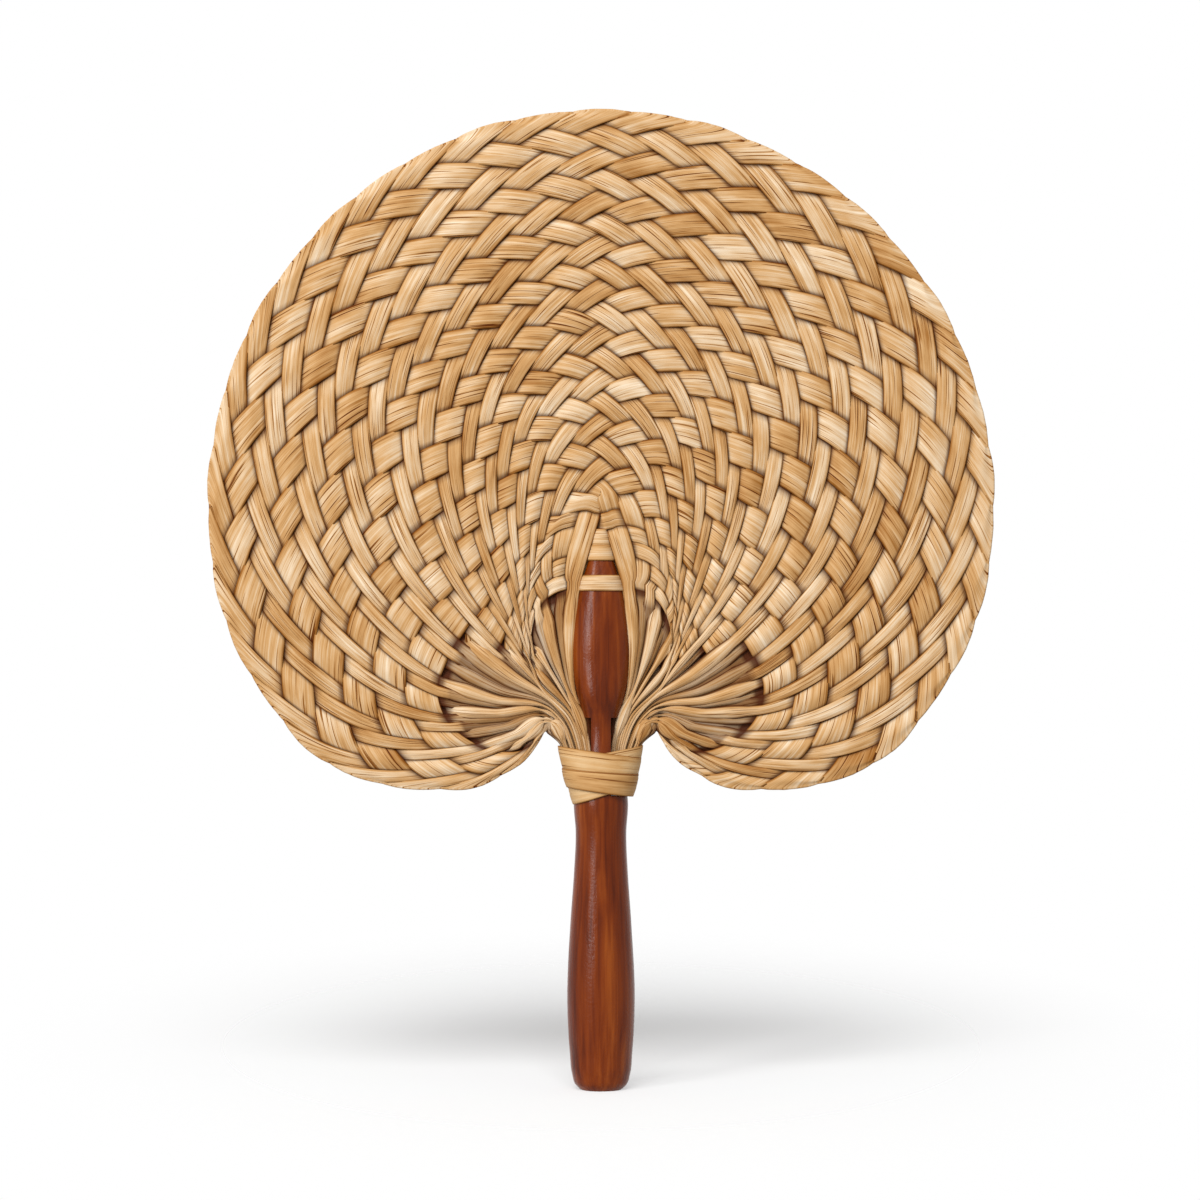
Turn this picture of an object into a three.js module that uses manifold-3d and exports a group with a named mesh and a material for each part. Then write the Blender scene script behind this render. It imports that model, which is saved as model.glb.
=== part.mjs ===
// Palm leaf fan: a turned wooden handle whose spike is woven into a round blade plaited from palm leaf.
// Millimetres, +Z up along the handle, front towards -Y, origin at the centre of the handle's flat butt end.
import * as THREE from 'three';
import { mergeVertices } from 'three/addons/utils/BufferGeometryUtils.js';
import Module from 'manifold-3d';

const wasm = await Module();
wasm.setup();

// Handle: grip, notched neck and spike, turned in one piece
const BUTT_RADIUS = 8.6;
const GRIP_SWELL_RADIUS = 13.9;
const GRIP_SWELL_Z = 36;
const GRIP_WAIST_RADIUS = 10.5;
const GRIP_WAIST_Z = 106;
const COLLAR_RADIUS = 11.2;
const COLLAR_Z = 118;
const NOTCH_BOTTOM_Z = 121;
const SHOULDER_RADIUS = 7.2;
const SHOULDER_Z = 153;
const TONGUE_WIDTH = 8.2;
const SPIKE_BULGE_RADIUS = 11.9;
const SPIKE_BULGE_Z = 178;
const SPIKE_STRAP_RADIUS = 8.6;
const SPIKE_TIP_RADIUS = 1.2;
const SPIKE_TIP_Z = 231;
const SPIKE_FLATNESS = 0.65; // depth of the spike over its width
const HANDLE_SIDES = 32;

// Blade: the rim is round, and drawn in under the two lobes towards the neck
const BLADE_RADIUS = 159.5;
const BLADE_CENTRE_Z = 242.7;
const RIM_ANGLES = [90, 130, 170, 210, 225, 238, 250, 254, 256.4]; // degrees from +X round to the neck
const RIM_SHARES = [1, 1, 1.005, 1, 0.968, 0.873, 0.75, 0.68, 0.6]; // radius there over BLADE_RADIUS
const RIM_STEPS = 240;

// Plait: strips of two families cross on rings that surround the spike
const RINGS = 40; // crossings from the strap on the spike out to the rim
const SPIKE_ROWS = 6; // strips that cross the middle line below the eye of the plait
const STRAP_ROWS = 4; // the lowest of them, which end in the neck and never reach the rim
const STRAP_REACH = [8, 11, 14, 17]; // last strip that each strap is woven with
const STRAP_EXITS = [20, 28, 32, 35]; // strip that each strap's end lies beside at the neck
const STRAP_BEHIND = 1; // row of the strap that passes behind the spike; the others pass in front
const STRAP_STEP = Math.PI / 5; // turn between sections where a strap rounds the spike
const TIGHT_RINGS = 12; // inner rings, where strips bend most
const RIM_RINGS = 4; // outer rings, where strips turn to fold
const FLOAT = 2; // crossings that a strip passes over, and then under
const STRIP_FILL = 0.74; // share of its pitch that a strip covers
const STRIP_THICKNESS = 0.5;
const WEAVE_LIFT = 0.9; // rise of a strip off the middle plane, half way along a float
const FOLD_LIFT = 0.36; // half height of the fold at the rim
const STRAP_Z = 209; // height where the lowest strap crosses the spike
const EYE_Z = 247; // top of the opening that the spike is pushed into
const EYE_HALF_WIDTH = 29.8;

// Gathered strip ends beside and below the spike
const GATHER_LAYERS = 6;
const LAYER_PITCH = 0.8;
const STRAP_END_DEPTH = 2.68; // strap ends run behind all the layers, and above the binding in two layers
const STRAP_END_WIDTH = 1.3;
const SPIKE_FOOT_Z = 164; // where the ends bend in under the spike's bulge
const GATHER_HALF_WIDTH = 22.3; // at the shoulder
const GATHER_END_HALF_WIDTH = 12.4;
const GATHER_END_Z = 128;
const SPIKE_GAP = 1.5; // between the spike and the ends beside it
const NECK_GAP = 0.8; // between the tongue and the ends beside it
const BINDING_INSET = 1.7; // of the outermost end from the outside of the binding
const BULGE_SPACING = 1.5; // of the ends beside the spike's bulge
const FOOT_SPACING = 0.75; // of the ends beside the spike's foot
const STRAND_HALF_SHARE = 0.9; // half width of a gathered end over the pitch of the ends

// Neck binding: one flat strip wound round the neck
const BINDING_TURNS = 2;
const BINDING_WIDTH = 7.5;
const BINDING_PITCH = 8.1;
const BINDING_THICKNESS = 0.7;
const BINDING_TOP_Z = 141.6;
const BINDING_TOP_HALF_WIDTH = 18;
const TURN_STEPS = 24;

const CLEARANCE = 0.35;

const WOOD = new THREE.MeshStandardMaterial({ color: 0x6e2d14, roughness: 0.38, metalness: 0 });
const LEAF = new THREE.MeshStandardMaterial({ color: 0xcda56e, roughness: 0.7, metalness: 0 });
const BINDING_LEAF = new THREE.MeshStandardMaterial({ color: 0xd2ac74, roughness: 0.65, metalness: 0 });

// Smooth curve through points at uneven knots, straight past its ends; each point is a list of coordinates
function curveAt(knots, points, t, endSlope) {
  const last = knots.length - 1;
  const gap = (i) => knots[i + 1] - knots[i];
  const chord = (i, c) => (points[i + 1][c] - points[i][c]) / gap(i);
  const inner = (i, c) => (chord(i - 1, c) * gap(i) + chord(i, c) * gap(i - 1)) / (gap(i - 1) + gap(i));
  const slope = (i, c) => {
    if (i === 0) return 1.5 * chord(0, c) - 0.5 * inner(1, c);
    if (i < last) return inner(i, c);
    return endSlope ? endSlope[c] : 1.5 * chord(last - 1, c) - 0.5 * inner(last - 1, c);
  };
  if (t <= knots[0]) return points[0].map((value, c) => value + slope(0, c) * (t - knots[0]));
  if (t >= knots[last]) return points[last].map((value, c) => value + slope(last, c) * (t - knots[last]));
  let i = 0;
  while (t > knots[i + 1]) i += 1;
  const s = (t - knots[i]) / gap(i);
  const rise = s * s * (3 - 2 * s);
  const leave = s * (1 - s) * (1 - s) * gap(i);
  const arrive = s * s * (s - 1) * gap(i);
  return points[i].map((value, c) => value + rise * (points[i + 1][c] - value)
    + leave * slope(i, c) + arrive * slope(i + 1, c));
}

const mix = (from, to, t) => from + (to - from) * t;

// Outline of the turned handle: height and radius
const PROFILE = [
  [0, BUTT_RADIUS],
  [1.6, BUTT_RADIUS + 1.7],
  [6, mix(BUTT_RADIUS, GRIP_SWELL_RADIUS, 0.62)],
  [15, mix(BUTT_RADIUS, GRIP_SWELL_RADIUS, 0.8)],
  [GRIP_SWELL_Z, GRIP_SWELL_RADIUS],
  [mix(GRIP_SWELL_Z, GRIP_WAIST_Z, 0.47), mix(GRIP_SWELL_RADIUS, GRIP_WAIST_RADIUS, 0.4)],
  [mix(GRIP_SWELL_Z, GRIP_WAIST_Z, 0.76), mix(GRIP_SWELL_RADIUS, GRIP_WAIST_RADIUS, 0.82)],
  [GRIP_WAIST_Z, GRIP_WAIST_RADIUS],
  [COLLAR_Z, COLLAR_RADIUS],
  [mix(COLLAR_Z, SHOULDER_Z, 0.25), mix(COLLAR_RADIUS, SHOULDER_RADIUS, 0.25)],
  [SHOULDER_Z, SHOULDER_RADIUS],
  [mix(SHOULDER_Z, SPIKE_BULGE_Z, 0.4), mix(SHOULDER_RADIUS, SPIKE_BULGE_RADIUS, 0.62)],
  [SPIKE_BULGE_Z, SPIKE_BULGE_RADIUS],
  [mix(SPIKE_BULGE_Z, STRAP_Z, 0.45), mix(SPIKE_BULGE_RADIUS, SPIKE_STRAP_RADIUS, 0.25)],
  [STRAP_Z - 3, SPIKE_STRAP_RADIUS],
  [mix(STRAP_Z, SPIKE_TIP_Z, 0.5), mix(SPIKE_STRAP_RADIUS, SPIKE_TIP_RADIUS, 0.57)],
  [SPIKE_TIP_Z - 1, SPIKE_TIP_RADIUS * 1.5],
];
const PROFILE_KNOTS = PROFILE.map((point) => point[0]);
const PROFILE_RADII = PROFILE.map((point) => [point[1]]);

function handleRadius(z) {
  return z >= SPIKE_TIP_Z ? 0 : curveAt(PROFILE_KNOTS, PROFILE_RADII, z)[0];
}

// The spike is flattened from front to back above the shoulder
function handleDepth(z) {
  const up = THREE.MathUtils.smoothstep(z, SHOULDER_Z, SPIKE_BULGE_Z);
  return handleRadius(z) * mix(1, SPIKE_FLATNESS, up);
}

function toSolid(geometry) {
  geometry.deleteAttribute('normal');
  geometry.deleteAttribute('uv');
  const merged = mergeVertices(geometry, 1e-4);
  return new wasm.Manifold(new wasm.Mesh({
    numProp: 3,
    vertProperties: new Float32Array(merged.attributes.position.array),
    triVerts: new Uint32Array(merged.index.array),
  }));
}

function toGeometry(solid) {
  const mesh = solid.getMesh();
  const geometry = new THREE.BufferGeometry();
  geometry.setAttribute('position', new THREE.BufferAttribute(mesh.vertProperties, 3));
  geometry.setIndex(new THREE.BufferAttribute(mesh.triVerts, 1));
  return geometry;
}

function makeHandle() {
  const rows = [new THREE.Vector2(0, 0)];
  PROFILE.forEach(([z, radius], i) => {
    rows.push(new THREE.Vector2(radius, z));
    const next = PROFILE[i + 1];
    if (next && next[0] - z > 6) {
      const middle = mix(z, next[0], 0.5);
      rows.push(new THREE.Vector2(handleRadius(middle), middle));
    }
  });
  rows.push(new THREE.Vector2(0, SPIKE_TIP_Z));
  const turned = new THREE.LatheGeometry(rows, HANDLE_SIDES).rotateX(Math.PI / 2);
  const position = turned.attributes.position;
  for (let i = 0; i < position.count; i += 1) {
    const z = position.getZ(i);
    const radius = handleRadius(z);
    const squeeze = radius > 0 ? handleDepth(z) / radius : 1;
    position.setY(i, position.getY(i) * squeeze);
  }
  let solid = toSolid(turned);
  const notchHeight = SHOULDER_Z - NOTCH_BOTTOM_Z;
  for (const side of [-1, 1]) {
    const notch = new THREE.BoxGeometry(COLLAR_RADIUS, 3 * COLLAR_RADIUS, notchHeight);
    notch.translate(side * (TONGUE_WIDTH + COLLAR_RADIUS) / 2, 0, NOTCH_BOTTOM_Z + notchHeight / 2);
    solid = solid.subtract(toSolid(notch));
  }
  return toGeometry(solid);
}

// Rim of the left half of the blade, from the neck (0) to the top (1), in equal steps of length
const rimPoints = [];
for (let i = 0; i <= RIM_STEPS; i += 1) {
  const degrees = mix(RIM_ANGLES[RIM_ANGLES.length - 1], RIM_ANGLES[0], i / RIM_STEPS);
  const share = curveAt(RIM_ANGLES, RIM_SHARES.map((value) => [value]), degrees)[0];
  const angle = THREE.MathUtils.degToRad(degrees);
  rimPoints.push(new THREE.Vector2(Math.cos(angle), Math.sin(angle)).multiplyScalar(share * BLADE_RADIUS));
}
const rimLengths = [0];
for (let i = 1; i <= RIM_STEPS; i += 1) {
  rimLengths.push(rimLengths[i - 1] + rimPoints[i].distanceTo(rimPoints[i - 1]));
}

function rimAt(w) {
  const length = THREE.MathUtils.clamp(w, 0, 1) * rimLengths[RIM_STEPS];
  let i = 0;
  while (i < RIM_STEPS - 1 && length > rimLengths[i + 1]) i += 1;
  const t = (length - rimLengths[i]) / (rimLengths[i + 1] - rimLengths[i]);
  const point = rimPoints[i].clone().lerp(rimPoints[i + 1], t);
  return [point.x, point.y + BLADE_CENTRE_Z];
}

// Rings inside the rim: points from the neck side (0) to the middle line (1), as x and z.
// The two inner rings keep their shares of the eye's size; the two outer ones, of the blade's radius.
const STRAP_CORNER = [-(SPIKE_STRAP_RADIUS + 5), STRAP_Z];
const STRAP_SPREAD = [-1.5, 3.3]; // step between the strips at that corner
const eyeShare = ([x, z]) => [x * EYE_HALF_WIDTH, mix(SHOULDER_Z, EYE_Z, z)];
const EYE_SIDE = [1.34 * EYE_HALF_WIDTH, 0.32 * (EYE_Z - SHOULDER_Z)]; // run of its ring on to the spike
const RING_SHARES = [0, 0.15, 0.35, 0.6, 0.8, 1];
const RING_NUMBERS = [SPIKE_ROWS, 10, 18, 28, RINGS];
const bladeShare = ([x, z]) => [x * BLADE_RADIUS, BLADE_CENTRE_Z + z * BLADE_RADIUS];
const EYE_RING = [[-0.973, 0.378], [-1, 0.468], [-0.963, 0.596], [-0.779, 0.777], [-0.487, 0.91], [0, 1]];
const SPIKE_RING = [
  [-0.906, 0.202], [-1.057, 0.362], [-1.124, 0.585], [-1.023, 0.881], [-0.671, 1.099], [0, 1.195],
];
const MIDDLE_RING = [[-0.224, -0.426], [-0.332, -0.223], [-0.337, 0.072], [-0.216, 0.278], [0, 0.371]];
const WIDE_RING = [[-0.399, -0.519], [-0.617, -0.236], [-0.599, 0.226], [-0.357, 0.514], [0, 0.658]];
const RING_POINTS = [
  EYE_RING.map(eyeShare),
  SPIKE_RING.map(eyeShare),
  [eyeShare([-0.678, 0.067]), ...MIDDLE_RING.map(bladeShare)],
  [eyeShare([-0.718, 0.013]), ...WIDE_RING.map(bladeShare)],
];

function ringRow(row, w) {
  const level = -row[row.length - 2][0] / (1 - RING_SHARES[RING_SHARES.length - 2]);
  return curveAt(RING_SHARES, row, w, [level, 0]);
}

// Below the eye the rings shrink towards the corner between the strap and the first upright strip, whose
// neighbours are spread apart there
function ringPoint(ring, w, a) {
  if (ring <= SPIKE_ROWS) {
    const past = Math.max(w - 1, 0);
    const eyeRing = ringRow(RING_POINTS[0], w - past).map((value, c) => value + past * EYE_SIDE[c]);
    const out = ring / SPIKE_ROWS;
    const corner = STRAP_CORNER.map((value, c) => value + a * STRAP_SPREAD[c]);
    return corner.map((value, c) => mix(value, eyeRing[c], out));
  }
  const rows = RING_POINTS.map((row) => ringRow(row, w));
  rows.push(rimAt(w));
  return curveAt(RING_NUMBERS, rows, ring);
}

// The lowest row that a ring still has before it runs into the neck
function lowestRow(ring) {
  return (STRAP_ROWS - 0.7) * Math.max(0, ring / RINGS * 2 - 1) ** 1.5;
}

function highestRow(ring) {
  return ring <= SPIKE_ROWS ? ring : (ring + SPIKE_ROWS) / 2;
}

// Place in the plait: a counts strips outwards from the spike, b counts the strips that cross them upwards.
// Past the middle line the right half is the left half turned about the handle, with the counts exchanged.
function plaitPoint(a, b) {
  if (b > a + SPIKE_ROWS) {
    const [x, z] = plaitPoint(b - SPIKE_ROWS, a + SPIKE_ROWS);
    return [-x, z];
  }
  const ring = a + b;
  const low = lowestRow(ring);
  const high = highestRow(ring);
  return ringPoint(ring, Math.abs(high - low) > 1e-6 ? (b - low) / (high - low) : 0.5, a);
}

// Side of the middle plane where a strip of the outgoing family crosses on a ring: 1 in front, -1 behind
function side(ring) {
  return (RINGS - ring) % (2 * FLOAT) < FLOAT ? 1 : -1;
}

// A cross section of a strip: its two edges, and its face and back half way between them
function section(edgeA, edgeB, depth, faceSign) {
  const first = new THREE.Vector3(edgeA[0], -depth, edgeA[1]);
  const second = new THREE.Vector3(edgeB[0], -depth, edgeB[1]);
  const middle = first.clone().lerp(second, 0.5);
  const out = new THREE.Vector3(0, (-faceSign * STRIP_THICKNESS) / 2, 0);
  return [first, middle.clone().add(out), second, middle.clone().sub(out)];
}

// Section across a strip on its way out to the rim (a fixed), and on its way back, turned over (b fixed)
function outgoing(a, b, depth) {
  const half = STRIP_FILL / 2;
  return section(plaitPoint(a + half, b), plaitPoint(a - half, b), depth, 1);
}

function returning(a, b, depth) {
  const half = STRIP_FILL / 2;
  return section(plaitPoint(a, b - half), plaitPoint(a, b + half), depth, -1);
}

// Direction of a route at one of its points, half way between the runs to it and from it
function directionAt(route, i) {
  const run = (from, to) => new THREE.Vector2(to[0] - from[0], to[1] - from[1]).normalize();
  const way = new THREE.Vector2();
  if (i > 0) way.add(run(route[i - 1], route[i]));
  if (i + 1 < route.length) way.add(run(route[i], route[i + 1]));
  return way.normalize();
}

// Section square to the way of a route, from half a width on its right to half a width on its left
function squareSection(point, way, half, depth, faceSign) {
  const right = [point[0] + way.y * half, point[1] - way.x * half];
  const left = [point[0] - way.y * half, point[1] + way.x * half];
  return section(right, left, depth, faceSign);
}

// Whether a section lies wholly ahead of another one, so that a strip through both doesn't fold over itself
function isAhead(last, next) {
  const flat = (point) => new THREE.Vector2(point.x, point.z);
  const run = flat(next[1]).sub(flat(last[1]));
  const reach = (line, section) => {
    const across = flat(line[2]).sub(flat(line[0]));
    const way = Math.sign(across.cross(run));
    return [section[0], section[2]].map((edge) => way * across.cross(flat(edge).sub(flat(line[0]))));
  };
  return Math.min(...reach(last, next)) > 0 && Math.max(...reach(next, last)) < 0;
}

// Leaves out the sections that cross the one kept before them
function uncrossed(sections) {
  const kept = [];
  for (const next of sections) {
    if (kept.length === 0 || isAhead(kept[kept.length - 1], next)) kept.push(next);
  }
  return kept;
}

// Closed ribbon through cross sections, with its face and its back split along the same diagonals
function ribbon(sections) {
  const sides = sections[0].length;
  const positions = sections.flat().flatMap((point) => point.toArray());
  const index = [];
  for (let i = 0; i + 1 < sections.length; i += 1) {
    for (let j = 0; j < sides; j += 1) {
      const next = (j + 1) % sides;
      const here = i * sides;
      const there = here + sides;
      if (j < sides / 2) index.push(here + j, there + next, there + j, here + j, here + next, there + next);
      else index.push(here + j, here + next, there + j, here + next, there + next, there + j);
    }
  }
  for (let j = 1; j + 1 < sides; j += 1) {
    const end = (sections.length - 1) * sides;
    index.push(0, j + 1, j, end, end + j, end + j + 1);
  }
  const geometry = new THREE.BufferGeometry();
  geometry.setAttribute('position', new THREE.Float32BufferAttribute(positions, 3));
  geometry.setIndex(index);
  return geometry;
}

// Heights of a strip along its crossings: half way between two crossings on one side it lifts to that side.
// Each mark is the distance along the strip from its first crossing, in crossings, and the height there.
function floats(firstRing, lastRing, family) {
  const sign = (ring) => family * side(ring);
  const begin = sign(firstRing) === sign(firstRing + 1) ? 0 : sign(firstRing);
  const marks = [[-0.5, begin * WEAVE_LIFT]];
  for (let ring = firstRing; ring < lastRing; ring += 1) {
    const lift = (WEAVE_LIFT * (sign(ring) + sign(ring + 1))) / 2;
    const bends = ring < TIGHT_RINGS || ring > RINGS - RIM_RINGS;
    if (lift !== 0 || bends) marks.push([ring - firstRing + 0.5, lift]);
  }
  return marks;
}

// Order of the gathered ends across the neck, with the strap ends among them
const LAST_STRIP = RINGS - STRAP_ROWS;
const GATHERED = LAST_STRIP + STRAP_ROWS;

function gatherOrder(a) {
  return a + STRAP_EXITS.filter((exit) => a > exit).length;
}

// Row where an outgoing strip leaves the plait at the neck
function neckRow(a) {
  let row = 0;
  for (let i = 0; i < 8; i += 1) row = lowestRow(a + row);
  return row;
}

// Route of a gathered end from the plait to its place under the binding, by its order across the neck
function gatherRoute(order, start, besideSpike) {
  const t = order / GATHERED;
  const inner = -(TONGUE_WIDTH / 2 + NECK_GAP);
  const route = [...start];
  if (besideSpike) {
    route.push([-(SPIKE_BULGE_RADIUS + SPIKE_GAP + BULGE_SPACING * order), SPIKE_BULGE_Z]);
    route.push([-(handleRadius(SPIKE_FOOT_Z) + SPIKE_GAP + FOOT_SPACING * order), SPIKE_FOOT_Z]);
  }
  const shoulder = -(SHOULDER_RADIUS + NECK_GAP);
  route.push([mix(shoulder, -GATHER_HALF_WIDTH, t), mix(SHOULDER_Z + 0.5, SHOULDER_Z - 2, t)]);
  route.push([mix(inner, -(BINDING_TOP_HALF_WIDTH - BINDING_INSET), t), BINDING_TOP_Z]);
  route.push([mix(inner, -GATHER_END_HALF_WIDTH, t), GATHER_END_Z]);
  return route;
}

function layerDepth(order) {
  return LAYER_PITCH * ((GATHER_LAYERS - 1) / 2 - (order % GATHER_LAYERS));
}

// Sections of a gathered end of the outgoing family, from the binding to half a crossing below its first row
function gatheredEnd(a, row, firstDepth) {
  const order = gatherOrder(a);
  const exitRow = neckRow(a);
  const rows = [row - 0.5];
  if (row > exitRow) rows.push(mix(row - 0.5, exitRow, 0.5), exitRow);
  const besideSpike = plaitPoint(a, rows[rows.length - 1])[1] > SPIKE_BULGE_Z + 4;
  const routeAt = (shift) => {
    const start = rows.map((value) => plaitPoint(a + shift, value));
    return gatherRoute(order + shift, start, besideSpike);
  };
  const middle = routeAt(0);
  const sections = middle.map((point, i) => {
    const share = i < rows.length ? STRIP_FILL / 2 : STRAND_HALF_SHARE;
    const outer = routeAt(share)[i];
    const inner = routeAt(-share)[i];
    if (i === 0) return section(outer, inner, firstDepth, 1);
    const way = directionAt(middle, i);
    const half = Math.abs((outer[0] - inner[0]) * way.y - (outer[1] - inner[1]) * way.x) / 2;
    return squareSection(point, way, Math.max(half, STRIP_THICKNESS / 2), layerDepth(order), 1);
  });
  return sections.reverse();
}

// First row that a strip of the outgoing family is woven with
function firstRow(a) {
  const row = STRAP_REACH.findIndex((reach) => a <= reach);
  return row < 0 ? STRAP_ROWS : row;
}

// The fold at the rim: the strip turns over its crease, from front to back
function fold(a, b) {
  const half = STRIP_FILL / 2;
  const creaseLow = plaitPoint(a + half, b - half);
  const creaseHigh = plaitPoint(a - half, b + half);
  const along = new THREE.Vector2(creaseHigh[0] - creaseLow[0], creaseHigh[1] - creaseLow[1]).normalize();
  const outward = new THREE.Vector3(-along.y, 0, along.x);
  const front = section(creaseLow, creaseHigh, FOLD_LIFT, 1);
  const back = section(creaseLow, creaseHigh, -FOLD_LIFT, -1);
  const turn = section(creaseLow, creaseHigh, 0, 1);
  const middle = turn[1].clone().add(turn[3]).multiplyScalar(0.5);
  turn[1].copy(middle).addScaledVector(outward, STRIP_THICKNESS / 2);
  turn[3].copy(middle).addScaledVector(outward, -STRIP_THICKNESS / 2);
  turn.forEach((point) => point.addScaledVector(outward, FOLD_LIFT * 0.9));
  return [front, turn, back];
}

// Sections of a strip from the binding out to its fold at the rim
function outgoingPart(a, row) {
  const start = firstRow(a);
  const marks = floats(a + start, a + row, 1);
  const sections = gatheredEnd(a, start, marks[0][1]);
  marks.slice(1).forEach(([along, depth]) => sections.push(outgoing(a, start + along, depth)));
  const [front, ...over] = fold(a, row);
  return [...uncrossed([front, ...sections.reverse()]).reverse(), ...over];
}

// Turns sections half way round the handle, in reverse order, to continue a strip on the right half
function turnedBack(sections) {
  const turn = (p) => new THREE.Vector3(-p.x, -p.y, p.z);
  return sections.map(([low, face, high, back]) => [low, back, high, face].map(turn)).reverse();
}

// The same section, counted from its other edge
function fromOtherEdge([edgeA, face, edgeB, back]) {
  return [edgeB, back, edgeA, face];
}

// A strip that folds once, on the left half or at the top
function foldedStrip(row) {
  const a = RINGS - row;
  const endStrip = row - SPIKE_ROWS;
  const endRow = firstRow(endStrip);
  const endA = endRow - SPIKE_ROWS;
  const marks = floats(endA + row, RINGS, -1);
  const back = marks.slice(1).map(([along, depth]) => returning(endA + along, row, depth)).reverse();
  const end = gatheredEnd(endStrip, endRow, -marks[0][1]).map(fromOtherEdge);
  return [...outgoingPart(a, row), ...uncrossed([...back, ...turnedBack(end)])];
}

// A strip that folds low on both lobes and crosses the middle line above the spike
function twiceFoldedStrip(row) {
  const a = RINGS - row;
  const marks = floats(row, RINGS, -1);
  const back = marks.slice(1).map(([along, depth]) => returning(along, row, depth)).reverse();
  const middle = returning(-0.2, row, mix(marks[0][1], marks[1][1], 0.3));
  const left = [...outgoingPart(a, row), ...back, middle];
  return [...left, ...turnedBack(left)];
}

// Gathered end of a strap, which runs behind the other ends
function strapEnd(row) {
  const reach = STRAP_REACH[row];
  const exit = STRAP_EXITS[row];
  const start = [reach + 1, mix(reach, exit, 0.4), exit].map((a) => plaitPoint(a, row));
  const route = gatherRoute(gatherOrder(exit) + 1, start, false);
  const depths = route.map((point, i) => {
    const above = point[1] > BINDING_TOP_Z;
    return i === 0 ? STRAP_END_DEPTH * 0.8 : STRAP_END_DEPTH + (above ? (row % 2) * LAYER_PITCH : 0);
  });
  return route.map((point, i) => {
    const half = i === 0 ? STRAP_END_WIDTH : STRAP_END_WIDTH / 4;
    return squareSection(point, directionAt(route, i), -half, -depths[i], -1);
  });
}

// A strap that crosses the spike
function strap(row) {
  const marks = floats(row, row + STRAP_REACH[row], -1);
  const woven = marks.map(([along, depth]) => returning(along, row, depth));
  const left = uncrossed([...woven, ...strapEnd(row)]).reverse();
  const [lowEdge, , highEdge] = woven[0];
  const room = CLEARANCE + STRIP_THICKNESS / 2;
  const halfWidth = (handleRadius(lowEdge.z) + room) / Math.cos(STRAP_STEP / 2);
  const halfDepth = (handleDepth(lowEdge.z) + room) / Math.cos(STRAP_STEP / 2);
  const face = row === STRAP_BEHIND ? -1 : 1;
  const reach = Math.min(-lowEdge.x, -highEdge.x) - CLEARANCE;
  const over = [];
  for (let angle = Math.PI; angle > -1e-6; angle -= STRAP_STEP) {
    const x = Math.cos(angle) * halfWidth;
    const depth = face * Math.sin(angle) * halfDepth;
    const low = [x, lowEdge.z + CLEARANCE];
    const high = [x, highEdge.z - CLEARANCE];
    if (Math.abs(x) < reach) over.push(section(low, high, depth, -1));
  }
  return [...left, ...over, ...turnedBack(left)];
}

// Neck binding: a flat strip wound from the back over the notched neck, oval above and round on the handle
const BINDING_BOTTOM_Z = BINDING_TOP_Z - BINDING_TURNS * BINDING_PITCH - BINDING_WIDTH;

function bindingPoint(angle, z, lift) {
  const t = (z - BINDING_BOTTOM_Z) / (BINDING_TOP_Z - BINDING_BOTTOM_Z);
  const neck = Math.max(handleRadius(z), handleRadius(BINDING_BOTTOM_Z) * (1 - t)) + CLEARANCE;
  const topHalfWidth = BINDING_TOP_HALF_WIDTH - BINDING_THICKNESS;
  const halfWidth = mix(handleRadius(BINDING_BOTTOM_Z) + CLEARANCE, topHalfWidth, t);
  return new THREE.Vector3(Math.cos(angle) * (halfWidth + lift), Math.sin(angle) * (neck + lift), z);
}

function makeBinding() {
  const sections = [];
  const steps = BINDING_TURNS * TURN_STEPS;
  for (let i = 0; i <= steps; i += 1) {
    const angle = Math.PI / 2 - (2 * Math.PI * i) / TURN_STEPS;
    const low = BINDING_BOTTOM_Z + (BINDING_PITCH * i) / TURN_STEPS;
    const high = low + BINDING_WIDTH;
    sections.push([
      bindingPoint(angle, low, 0),
      bindingPoint(angle, low, BINDING_THICKNESS),
      bindingPoint(angle, high, BINDING_THICKNESS),
      bindingPoint(angle, high, 0),
    ]);
  }
  return sections;
}

// Least gap between neighbouring turns of the binding, measured on its section points
function leastTurnGap(sections) {
  let least = Infinity;
  for (let i = 0; i + TURN_STEPS < sections.length; i += 1) {
    for (let j = i + TURN_STEPS - 2; j <= Math.min(i + TURN_STEPS + 2, sections.length - 1); j += 1) {
      for (const p of sections[i]) {
        for (const q of sections[j]) least = Math.min(least, p.distanceTo(q));
      }
    }
  }
  return least;
}

const fan = new THREE.Group();

function addPiece(name, geometry, material) {
  const mesh = new THREE.Mesh(geometry, material);
  mesh.name = name;
  fan.add(mesh);
}

addPiece('handle', makeHandle(), WOOD);
const bindingSections = makeBinding();
console.log(`neck binding: least gap between turns ${leastTurnGap(bindingSections).toFixed(2)} mm`);
addPiece('neck_binding', ribbon(bindingSections), BINDING_LEAF);

const TOP_ROW = (RINGS + SPIKE_ROWS) / 2;
const number = (i) => String(i).padStart(2, '0');
for (let row = 0; row < STRAP_ROWS; row += 1) {
  addPiece(`spike_strap_${row + 1}`, ribbon(strap(row)), LEAF);
}
for (let row = STRAP_ROWS; row < SPIKE_ROWS; row += 1) {
  addPiece(`cross_strip_${row - STRAP_ROWS + 1}`, ribbon(twiceFoldedStrip(row)), LEAF);
}
for (let row = SPIKE_ROWS; row < TOP_ROW; row += 1) {
  const sections = foldedStrip(row);
  addPiece(`left_strip_${number(row - SPIKE_ROWS + 1)}`, ribbon(sections), LEAF);
  addPiece(`right_strip_${number(row - SPIKE_ROWS + 1)}`, ribbon(turnedBack(sections)), LEAF);
}
addPiece('top_strip', ribbon(foldedStrip(TOP_ROW)), LEAF);

export default fan;
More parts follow.
